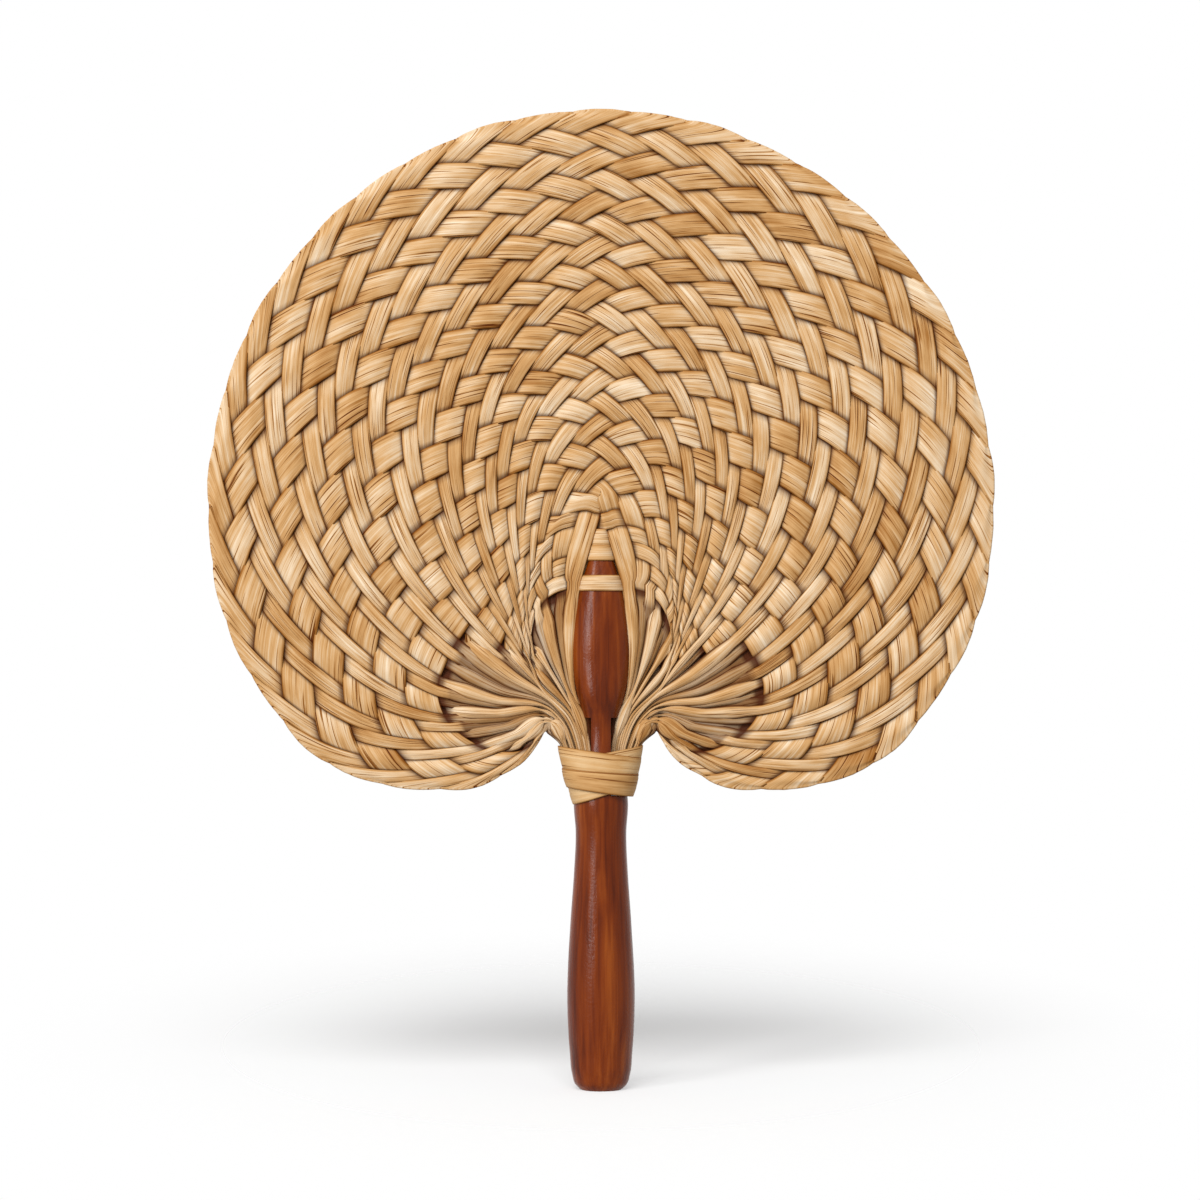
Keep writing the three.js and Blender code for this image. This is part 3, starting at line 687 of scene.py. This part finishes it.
def fold(a, b):
    """The strip turns over its crease at the rim, from front to back."""
    t = np.linspace(0, 1, FOLD_STEPS)[1:-1, None]
    half = mix(STRIP_FILL, CREASE_FILL, smooth(t)) / 2
    low, high = a - S * CREASE_FILL / 2, b + S * CREASE_FILL / 2
    crease = plait_point(low, high)
    along = np.gradient(crease, axis=0)
    along /= np.linalg.norm(along, axis=1)[:, None]
    outward = np.stack([-along[:, 1], along[:, 0]], axis=1)
    bulge = FOLD_BULGE * (1 + FOLD_UNEVEN * math.sin(a * FOLD_UNEVEN_TURN)) * ARCH
    reach = outward[None] * (bulge[None, :] * t ** 2)[..., None]
    lift = mix(CUPPED[None, :], FOLD_RADIUS, smooth(t))
    there = plait_point(a - S[None, :] * half, mix(b - FOLD_START, high[None], t)) + reach
    angle = np.linspace(0, math.pi, CREASE_STEPS)[:, None]
    turn = crease[None] + outward[None] * (bulge[None, :] + FOLD_RADIUS * np.sin(angle))[..., None]
    back = plait_point(mix(a - FOLD_START, low[None], t), b + S[None, :] * half) + reach
    return np.concatenate([
        surface(there, lift, CLEAR, CLEAR),
        surface(turn, FOLD_RADIUS * np.cos(angle), CLEAR, CLEAR),
        surface(back, -lift, CLEAR, CLEAR)[::-1],
    ])


def folded_strip(row, turn):
    """A strip that folds once at the rim."""
    a = RINGS - row
    end_strip = row - SPIKE_ROWS
    end_row = first_row(end_strip)
    tucks = range(STRAP_ROWS) if end_strip == 0 else ()
    back, last = returning_part(row, end_row - SPIKE_ROWS, a, tucks, turn)
    return np.concatenate([
        outgoing_part(a, row, turn),
        fold(a, row),
        back,
        turned_back(gathered_end(end_strip, end_row, -last, -turn))[1:, ::-1],
    ])


def twice_folded_strip(row):
    """A strip that folds low on both lobes and crosses the middle line above the spike."""
    a = RINGS - row
    back, _ = returning_part(row, 0, a)
    left, right = (np.concatenate([outgoing_part(a, row, turn), fold(a, row), back]) for turn in (1, -1))
    return np.concatenate([left, turned_back(right)])


def strap_half(row, turn):
    """Left half of a strap, from the binding to the spike."""
    reach = STRAP_REACH[row]
    woven, _ = returning_part(row, 0, reach + 1, (row,), -turn)
    start = [plait_point(reach + out, row + up) for out, up in STRAP_LEAVES]
    route = gather_route(gather_order(reach) + STRAP_ORDER_SHIFT, start, False)
    runs = route_runs(route)
    t = np.linspace(0, runs[-1], GATHER_STEPS)
    middle = curve_at(runs, route, t)
    edge = (woven[0, -1] - woven[0, 0])[[0, 2]]
    across = route_across(middle, edge, t)
    half = mix(np.linalg.norm(edge) / 2, STRAP_END_HALF_WIDTH, smooth(t / STRAP_NARROW_LENGTH))
    flat = middle[:, None, :] + across[:, None, :] * (S[None, :] * half[:, None])[..., None]
    sink = smooth(t / STRAP_SINK_LENGTH)
    depth = mix(-woven[0, ACROSS // 2, 1], -STRAP_END_DEPTH * turn, sink)
    end = surface(flat, depth[:, None], CLEAR, CLEAR)[::-1]
    return np.concatenate([end[:-1], woven])


def strap(row):
    """A strap round the spike."""
    left = strap_half(row, 1)
    right = turned_back(strap_half(row, -1))
    low, high = left[-1, 0, 2], left[-1, -1, 2]
    z = mix(low, high, (S + 1) / 2)
    face = 1 if row in FRONT_STRAPS else -1
    wrap = np.linspace(1 - STRAP_WRAP_START, STRAP_WRAP_START, STRAP_STEPS)
    angle = math.pi * wrap[:, None]
    x = np.cos(angle) * (handle_radius(z) + STRAP_ROOM)
    depth = face * (np.sin(angle) * (handle_depth(z) + STRAP_ROOM) + STRAP_CUP * ARCH)
    over = surface(np.stack([x, np.broadcast_to(z, x.shape)], axis=-1), depth, CLEAR, CLEAR)
    return np.concatenate([left, over, right])


def ribbon_normals(middle):
    normal = np.cross(np.gradient(middle, axis=1), np.gradient(middle, axis=0))
    return normal / np.maximum(np.linalg.norm(normal, axis=2), LEAST_NORMAL)[..., None]


def ribbon_ridges(middle, run, waver, height):
    """Heights of the lengthwise ridges, lower at the edges and where the ribbon is narrow."""
    across = middle.shape[1]
    rows = np.stack([waver.along(run, RIDGE_STEP) for _ in range(across)], axis=1)
    fixed = waver.rng.uniform(-1, 1, across)
    ridges = height * (RIDGE_WAVER * rows + fixed)
    ridges[:, (0, -1)] *= EDGE_RIDGE
    width = np.linalg.norm(middle[:, -1] - middle[:, 0], axis=1)
    return ridges * np.clip(width / FULL_RIDGE_WIDTH, LEAST_RIDGE, 1)[:, None]


def ribbon_faces(count, across):
    """Faces of a closed ribbon: two broad sides, two long edges and two ends."""
    i, j = np.meshgrid(np.arange(count - 1), np.arange(across - 1), indexing="ij")
    here = (i * across + j).ravel()
    size = count * across
    upper = np.stack([here, here + 1, here + across + 1, here + across], axis=1)
    lower = upper[:, ::-1] + size
    edge = np.arange(count - 1) * across
    first = np.stack([edge, edge + across, edge + across + size, edge + size], axis=1)
    last = first[:, ::-1] + across - 1
    cap = np.arange(across - 1)
    begin = np.stack([cap, cap + size, cap + 1 + size, cap + 1], axis=1)
    end = begin[:, ::-1] + (count - 1) * across
    return np.concatenate([upper, lower, first, last, begin, end])


def ribbon_tone(run, waver):
    """How light a ribbon is along its length."""
    tone = waver.rng.uniform(-1, 1) * OWN_TONE
    for height, length in TONE_WAVES:
        tone = tone + height * waver.along(run, length)
    return tone


def ribbon_painted_shade(clear, normal):
    """How deep both sides of a ribbon lie in the gaps, from 0 to 1, which is the strength of their painted
    shade.
    """
    buried = np.moveaxis(1 - smooth(clear / GAP_RISE), -1, 0)
    towards = normal[..., 1] < 0
    return np.stack([np.where(towards, *buried), np.where(towards, *buried[::-1])])


def ribbon_mesh(name, strip, thickness, seed, ridge):
    """Closed thin ribbon round a strip's middle surface, with lengthwise ridges, in metres."""
    count, across = strip.shape[:2]
    middle, clear = strip[..., :3], strip[..., 3:]
    places = np.linspace(-1, 1, across)
    normal = ribbon_normals(middle)
    run = route_runs(middle[:, across // 2])
    waver = Waver(seed)
    core = middle + normal * ribbon_ridges(middle, run, waver, ridge)[..., None]
    thin = thickness / 2 * (1 - EDGE_THINNING * places ** EDGE_THINNING_POWER)
    half = normal * thin[None, :, None]
    points = np.concatenate([(core + half).reshape(-1, 3), (core - half).reshape(-1, 3)]) * MM
    mesh = bpy.data.meshes.new(name)
    mesh.from_pydata(points.tolist(), [], ribbon_faces(count, across).tolist())
    mesh.shade_smooth()
    # the fields deep and rim carry the painted shade in the gaps and along the strip's edges to the material
    fields = {
        "across": places * PATTERN_HALF_WIDTH + seed * PATTERN_SHIFT_ACROSS,
        "along": run[:, None] + seed * PATTERN_SHIFT_ALONG,
        "tone": ribbon_tone(run, waver)[:, None],
        "rim": np.abs(places),
        "deep": ribbon_painted_shade(clear, normal),
    }
    for key, values in fields.items():
        attribute = mesh.attributes.new(key, "FLOAT", "POINT")
        both_sides = np.broadcast_to(values, (2, count, across)).ravel()
        attribute.data.foreach_set("value", both_sides.astype(np.float32))
    return mesh


def band_surface(layer, top, top_slope, bottom, bottom_slope):
    """One turn of leaf laid round the oval neck at a slant."""
    angle = np.linspace(0, 2 * math.pi, BAND_SIDES + 1)[:, None]
    s = np.linspace(0, 1, BAND_ACROSS)[None, :]
    low_half = handle_radius(BINDING_BOTTOM_Z)[0] + BINDING_GAP
    lift = layer * BAND_THICKNESS * BAND_SPACING + BAND_CUP * (1 - (2 * s - 1) ** 2)
    x = np.cos(angle) * (low_half + BAND_FIRST_SPREAD)
    for _ in range(BAND_ROUNDS):
        z = mix(bottom + bottom_slope * x, top + top_slope * x, s)
        t = (z - BINDING_BOTTOM_Z) / (BINDING_TOP_Z - BINDING_BOTTOM_Z)
        x = np.cos(angle) * (mix(low_half, BINDING_TOP_HALF_WIDTH, t) + lift)
    neck = handle_radius(z.ravel()).reshape(z.shape)
    deep = np.maximum(neck, low_half * (1 - t) + BINDING_TOP_DEPTH * t) + BINDING_GAP + lift
    return surface(np.stack([x, z], axis=-1), -np.sin(angle) * deep, CLEAR, CLEAR)


def handle_levels():
    """Heights of the handle's rows, and which are notched. Close pairs keep the notch's ends sharp."""
    top = SPIKE_TIP_Z - SPIKE_TIP_ROUND
    steps = np.arange(FIRST_STEP_Z, top, HANDLE_STEP)
    z = [*BUTT_LEVELS, *steps, top, SPIKE_TIP_Z - LAST_LEVEL_DROP]
    sharp = []
    for level, below, above in ((NOTCH_BOTTOM_Z, False, True), (SHOULDER_Z, True, False)):
        z = [v for v in z if abs(v - level) > NOTCH_EDGE_ROOM]
        sharp += [(level - NOTCH_EDGE, below), (level + NOTCH_EDGE, above)]
    rows = sorted([(v, NOTCH_BOTTOM_Z < v < SHOULDER_Z) for v in z] + sharp)
    return np.array([row[0] for row in rows]), np.array([row[1] for row in rows])


def handle_rows():
    """Rows of points round the handle, slightly dented, and cut flat at the notches."""
    levels, notched = handle_levels()
    angle = np.linspace(0, 2 * math.pi, HANDLE_SIDES, endpoint=False)
    waver = Waver(DENT_SEED)
    dents = np.stack([waver.along(levels, DENT_LENGTH) for _ in range(DENT_WAVES)], axis=1)
    around = np.stack([np.cos(k * angle + k) for k in range(1, DENT_WAVES + 1)])
    uneven = DENT_DEPTH * dents @ around
    x = np.cos(angle) * (handle_radius(levels)[:, None] + uneven)
    y = np.sin(angle) * (handle_depth(levels)[:, None] + uneven)
    half = np.where(notched, TONGUE_WIDTH / 2, np.inf)[:, None]
    x = np.clip(x, -half, half)
    return np.stack([x, y, np.broadcast_to(levels[:, None], x.shape)], axis=-1)


def handle_mesh():
    """Turned handle with the notched neck and the flattened spike."""
    rows = handle_rows()
    count, sides = rows.shape[:2]
    points = np.concatenate([rows.reshape(-1, 3), [[0, 0, 0], [0, 0, SPIKE_TIP_Z]]]) * MM
    i, j = np.meshgrid(np.arange(count - 1), np.arange(sides), indexing="ij")
    here, beside = (i * sides + j).ravel(), (i * sides + (j + 1) % sides).ravel()
    faces = np.stack([here, beside, beside + sides, here + sides], axis=1).tolist()
    butt, tip = count * sides, count * sides + 1
    top = (count - 1) * sides
    for k in range(sides):
        after = (k + 1) % sides
        faces.append([after, k, butt])
        faces.append([top + k, top + after, tip])
    mesh = bpy.data.meshes.new("turned_handle")
    mesh.from_pydata(points.tolist(), [], faces)
    mesh.shade_smooth()
    mesh.set_sharp_from_angle(angle=math.radians(SHARP_DEGREES))
    return mesh


def srgb(red, green, blue):
    """Linear colour from an 8-bit one."""
    channel = lambda v: v / 12.92 if v <= 0.04045 else ((v + 0.055) / 1.055) ** 2.4
    return (*[channel(v / 255) for v in (red, green, blue)], 1.0)


def new_material(name):
    material = bpy.data.materials.new(name)
    material.use_nodes = True
    tree = material.node_tree
    return material, tree, tree.nodes["Principled BSDF"]


def add_node(tree, kind, settings=None, **inputs):
    """A shader node with its settings, and its inputs, by name or as i and a number, set or linked."""
    node = tree.nodes.new(kind)
    for key, value in (settings or {}).items():
        setattr(node, key, value)
    for key, value in inputs.items():
        socket = node.inputs[int(key[1:])] if key[0] == "i" and key[1:].isdigit() else node.inputs[key]
        if isinstance(value, bpy.types.NodeSocket):
            tree.links.new(value, socket)
        else:
            socket.default_value = value
    return node


def calc(tree, operation, *values):
    inputs = {f"i{i}": value for i, value in enumerate(values)}
    return add_node(tree, "ShaderNodeMath", {"operation": operation}, **inputs).outputs[0]


def remap(tree, value, span, result, **settings):
    """A value carried from one span to another, and kept inside it."""
    ends = {f"i{i + 1}": end for i, end in enumerate((*span, *result))}
    return add_node(tree, "ShaderNodeMapRange", settings, i0=value, **ends).outputs[0]


def field(tree, name):
    return add_node(tree, "ShaderNodeAttribute", {"attribute_name": name}).outputs["Fac"]


def ramp(tree, value, stops):
    node = add_node(tree, "ShaderNodeValToRGB", Fac=value)
    elements = node.color_ramp.elements
    while len(elements) < len(stops):
        elements.new(0.5)
    for element, (position, colour) in zip(elements, stops):
        element.position = position
        element.color = srgb(*colour)
    return node.outputs["Color"]


def add_bump(tree, shader, height, strength, depth):
    bump = add_node(tree, "ShaderNodeBump", Strength=strength, Distance=depth * MM, Height=height)
    tree.links.new(bump.outputs[0], shader.inputs["Normal"])


def streaks(tree, across, along, scales, detail=STREAK_DETAIL):
    """Noise drawn out along a strip."""
    x = calc(tree, "MULTIPLY", across, scales[0])
    y = calc(tree, "MULTIPLY", along, scales[1])
    place = add_node(tree, "ShaderNodeCombineXYZ", X=x, Y=y).outputs[0]
    flat = {"noise_dimensions": "2D"}
    return add_node(tree, "ShaderNodeTexNoise", flat, Vector=place, Scale=1.0, Detail=detail).outputs["Fac"]


def leaf_tone(tree, fibre, stripe, blotch, dark, streaky):
    """Tone of the leaf: its strip's own, with streaks and blotches about it, darker at slits, and with
    painted shade along its edges.
    """
    tone = calc(tree, "MULTIPLY_ADD", field(tree, "tone"), STRIP_TONE, MEAN_TONE)
    for noise, gain in ((fibre, FIBRE_TONE * streaky), (stripe, streaky), (blotch, BLOTCH_TONE)):
        tone = calc(tree, "ADD", tone, calc(tree, "MULTIPLY_ADD", noise, gain, -gain / 2))
    # Painted shade along the strip's edges, where they meet the grooves between strips.
    edge = calc(tree, "POWER", field(tree, "rim"), EDGE_SHADE_POWER)
    tone = calc(tree, "SUBTRACT", tone, calc(tree, "MULTIPLY", edge, EDGE_SHADE_TONE))
    return calc(tree, "SUBTRACT", tone, dark)


def leaf_material(name, stops, streaky):
    """Dry leaf with fibres, stripes, blotches and slits, and painted shade in the gaps."""
    material, tree, shader = new_material(name)
    across, along = field(tree, "across"), field(tree, "along")
    fibre = streaks(tree, across, along, FIBRE_SCALES)
    stripe = streaks(tree, across, along, STRIPE_SCALES)
    blotch = streaks(tree, across, along, BLOTCH_SCALES)
    slit = streaks(tree, across, along, SLIT_SCALES, SLIT_DETAIL)
    dark = remap(tree, slit, SLIT_SPAN, (SLIT_TONE, 0.0))
    bare = ramp(tree, leaf_tone(tree, fibre, stripe, blotch, dark, streaky), stops)
    # Painted shade: the colour goes towards a dark brown where the strip lies deep in the gaps.
    gloom = calc(tree, "MULTIPLY", field(tree, "deep"), GAP_SHADE)
    blend = {"data_type": "RGBA"}
    colour = add_node(tree, "ShaderNodeMix", blend, i0=gloom, i6=bare, i7=srgb(*GAP_SHADE_COLOUR)).outputs[2]
    tree.links.new(colour, shader.inputs["Base Color"])
    tree.links.new(remap(tree, fibre, NOISE_SPAN, LEAF_ROUGHNESS), shader.inputs["Roughness"])
    shader.inputs["Specular IOR Level"].default_value = LEAF_SPECULAR
    height = calc(tree, "ADD", fibre, calc(tree, "MULTIPLY", stripe, STRIPE_HEIGHT))
    height = calc(tree, "SUBTRACT", height, calc(tree, "MULTIPLY", dark, SLIT_HEIGHT))
    add_bump(tree, shader, height, LEAF_BUMP, LEAF_BUMP_DEPTH)
    return material


def wood_noise(tree, place, scales, detail, distortion=0.0):
    """Noise drawn out along the handle."""
    long = add_node(tree, "ShaderNodeMapping", Vector=place, Scale=scales).outputs[0]
    inputs = {"Vector": long, "Scale": 1.0, "Detail": detail, "Distortion": distortion}
    return add_node(tree, "ShaderNodeTexNoise", **inputs).outputs["Fac"]


def wood_material():
    """Oiled reddish wood with its grain along the handle."""
    material, tree, shader = new_material("turned_wood")
    place = add_node(tree, "ShaderNodeTexCoord").outputs["Object"]
    grain = wood_noise(tree, place, GRAIN_SCALES, GRAIN_DETAIL, GRAIN_DISTORTION)
    figure = wood_noise(tree, place, FIGURE_SCALES, FIGURE_DETAIL, FIGURE_DISTORTION)
    pore = wood_noise(tree, place, PORE_SCALES, PORE_DETAIL)
    speck = add_node(tree, "ShaderNodeTexNoise", Vector=place, Scale=SPECK_SCALE, Detail=SPECK_DETAIL)
    tone = calc(tree, "MULTIPLY", figure, FIGURE_TONE)
    tone = calc(tree, "ADD", calc(tree, "MULTIPLY", grain, GRAIN_TONE), tone)
    tree.links.new(ramp(tree, tone, WOOD_STOPS), shader.inputs["Base Color"])
    tree.links.new(remap(tree, pore, NOISE_SPAN, WOOD_ROUGHNESS), shader.inputs["Roughness"])
    shader.inputs["Specular IOR Level"].default_value = WOOD_SPECULAR
    shader.inputs["Coat Weight"].default_value = COAT_WEIGHT
    shader.inputs["Coat Roughness"].default_value = COAT_ROUGHNESS
    height = calc(tree, "ADD", speck.outputs["Fac"], grain)
    height = calc(tree, "ADD", calc(tree, "MULTIPLY", pore, PORE_HEIGHT), height)
    add_bump(tree, shader, height, WOOD_BUMP, WOOD_BUMP_DEPTH)
    return material


def floor_material():
    """Pale matt floor that fades away round the fan."""
    material, tree, shader = new_material("floor")
    shader.inputs["Base Color"].default_value = FLOOR_COLOUR
    shader.inputs["Roughness"].default_value = FLOOR_ROUGHNESS
    shader.inputs["Specular IOR Level"].default_value = FLOOR_SPECULAR
    place = add_node(tree, "ShaderNodeTexCoord").outputs["Object"]
    oval = add_node(tree, "ShaderNodeMapping", Vector=place, Location=FADE_SHIFT, Scale=FADE_SCALE)
    length = {"operation": "LENGTH"}
    away = add_node(tree, "ShaderNodeVectorMath", length, i0=oval.outputs[0]).outputs["Value"]
    fade = remap(tree, away, FADE_SPAN, (0.0, 1.0), interpolation_type="SMOOTHSTEP")
    clear = add_node(tree, "ShaderNodeBsdfTransparent").outputs[0]
    blend = add_node(tree, "ShaderNodeMixShader", i0=fade, i1=shader.outputs[0], i2=clear).outputs[0]
    tree.links.new(blend, tree.nodes["Material Output"].inputs["Surface"])
    return material


def add_piece(name, mesh, material, node):
    piece = bpy.data.objects.new(name, mesh)
    piece.data.materials.append(material)
    bpy.context.scene.collection.objects.link(piece)
    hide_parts(node)
    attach(piece, "root")


def joined(name, meshes):
    """One mesh from several."""
    pieces = [bpy.data.objects.new(name, mesh) for mesh in meshes]
    for piece in pieces:
        bpy.context.scene.collection.objects.link(piece)
    with bpy.context.temp_override(active_object=pieces[0], selected_editable_objects=pieces):
        bpy.ops.object.join()
    mesh = pieces[0].data
    bpy.data.objects.remove(pieces[0])
    return mesh


def build_strips(material):
    strips = {}
    for row in range(STRAP_ROWS):
        strips[f"spike_strap_{row + 1}"] = strap(row)
    for row in range(STRAP_ROWS, SPIKE_ROWS):
        strips[f"cross_strip_{row - STRAP_ROWS + 1}"] = twice_folded_strip(row)
    for row in range(SPIKE_ROWS, TOP_ROW):
        strips[f"left_strip_{row - SPIKE_ROWS + 1:02d}"] = folded_strip(row, 1)
        strips[f"right_strip_{row - SPIKE_ROWS + 1:02d}"] = turned_back(folded_strip(row, -1))
    strips["top_strip"] = folded_strip(TOP_ROW, 1)
    for seed, (node, strip) in enumerate(strips.items(), STRIP_SEED):
        mesh = ribbon_mesh(node + "_leaf", strip, STRIP_THICKNESS, seed, STRIP_RIDGE)
        add_piece(node + "_leaf", mesh, material, node)


def build_binding(material):
    meshes = []
    for i, band in enumerate(BANDS):
        strip = band_surface(*band)
        meshes.append(ribbon_mesh(f"band_{i}", strip, BAND_THICKNESS, BAND_SEED + i, BAND_RIDGE))
    add_piece("neck_bands", joined("neck_bands", meshes), material, "neck_binding")


def build_floor():
    half = FLOOR_SIZE * MM / 2
    corners = [(-half, -half, 0), (half, -half, 0), (half, half, 0), (-half, half, 0)]
    mesh = bpy.data.meshes.new("floor")
    mesh.from_pydata(corners, [], [(0, 1, 2, 3)])
    mesh.materials.append(floor_material())
    floor = bpy.data.objects.new("floor", mesh)
    bpy.context.scene.collection.objects.link(floor)


def build_world():
    """White surround, which is dimmer as a light than to the eye."""
    world = bpy.data.worlds.new("studio")
    bpy.context.scene.world = world
    world.use_nodes = True
    tree = world.node_tree
    rays = add_node(tree, "ShaderNodeLightPath").outputs
    mirrored = calc(tree, "MAXIMUM", rays["Is Glossy Ray"], rays["Is Transmission Ray"])
    shown = calc(tree, "MAXIMUM", rays["Is Camera Ray"], mirrored)
    strength = remap(tree, shown, (0.0, 1.0), (SURROUND_LIGHT, 1.0))
    background = tree.nodes["Background"]
    background.inputs["Color"].default_value = SURROUND_COLOUR
    tree.links.new(strength, background.inputs["Strength"])


def add_lamp(name, place, aim, width, height, power):
    light = bpy.data.lights.new(name, "AREA")
    light.shape = "RECTANGLE"
    light.size = width
    light.size_y = height
    light.energy = power
    lamp = bpy.data.objects.new(name, light)
    lamp.location = place
    lamp.rotation_euler = (Vector(aim) - Vector(place)).to_track_quat("-Z", "Y").to_euler()
    bpy.context.scene.collection.objects.link(lamp)


def build_camera():
    camera = bpy.data.cameras.new("camera")
    camera.sensor_width = SENSOR_WIDTH
    camera.lens = SENSOR_WIDTH * CAMERA_DISTANCE / FRAME_WIDTH
    camera.clip_start = CLIP_NEAR * MM
    camera.clip_end = CLIP_FAR * MM
    camera_object = bpy.data.objects.new("camera", camera)
    camera_object.location = (CAMERA_SHIFT * MM, -CAMERA_DISTANCE * MM, CAMERA_HEIGHT * MM)
    camera_object.rotation_euler = (math.pi / 2, 0, 0)
    bpy.context.scene.collection.objects.link(camera_object)
    bpy.context.scene.camera = camera_object


build_strips(leaf_material("palm_leaf", LEAF_STOPS, LEAF_STREAKS))
build_binding(leaf_material("binding_leaf", BINDING_STOPS, BINDING_STREAKS))
add_piece("turned_handle", handle_mesh(), wood_material(), "handle")
build_floor()
build_world()
for lamp_values in LAMPS:
    add_lamp(*lamp_values)
build_camera()
bpy.context.scene.view_settings.view_transform = "Standard"
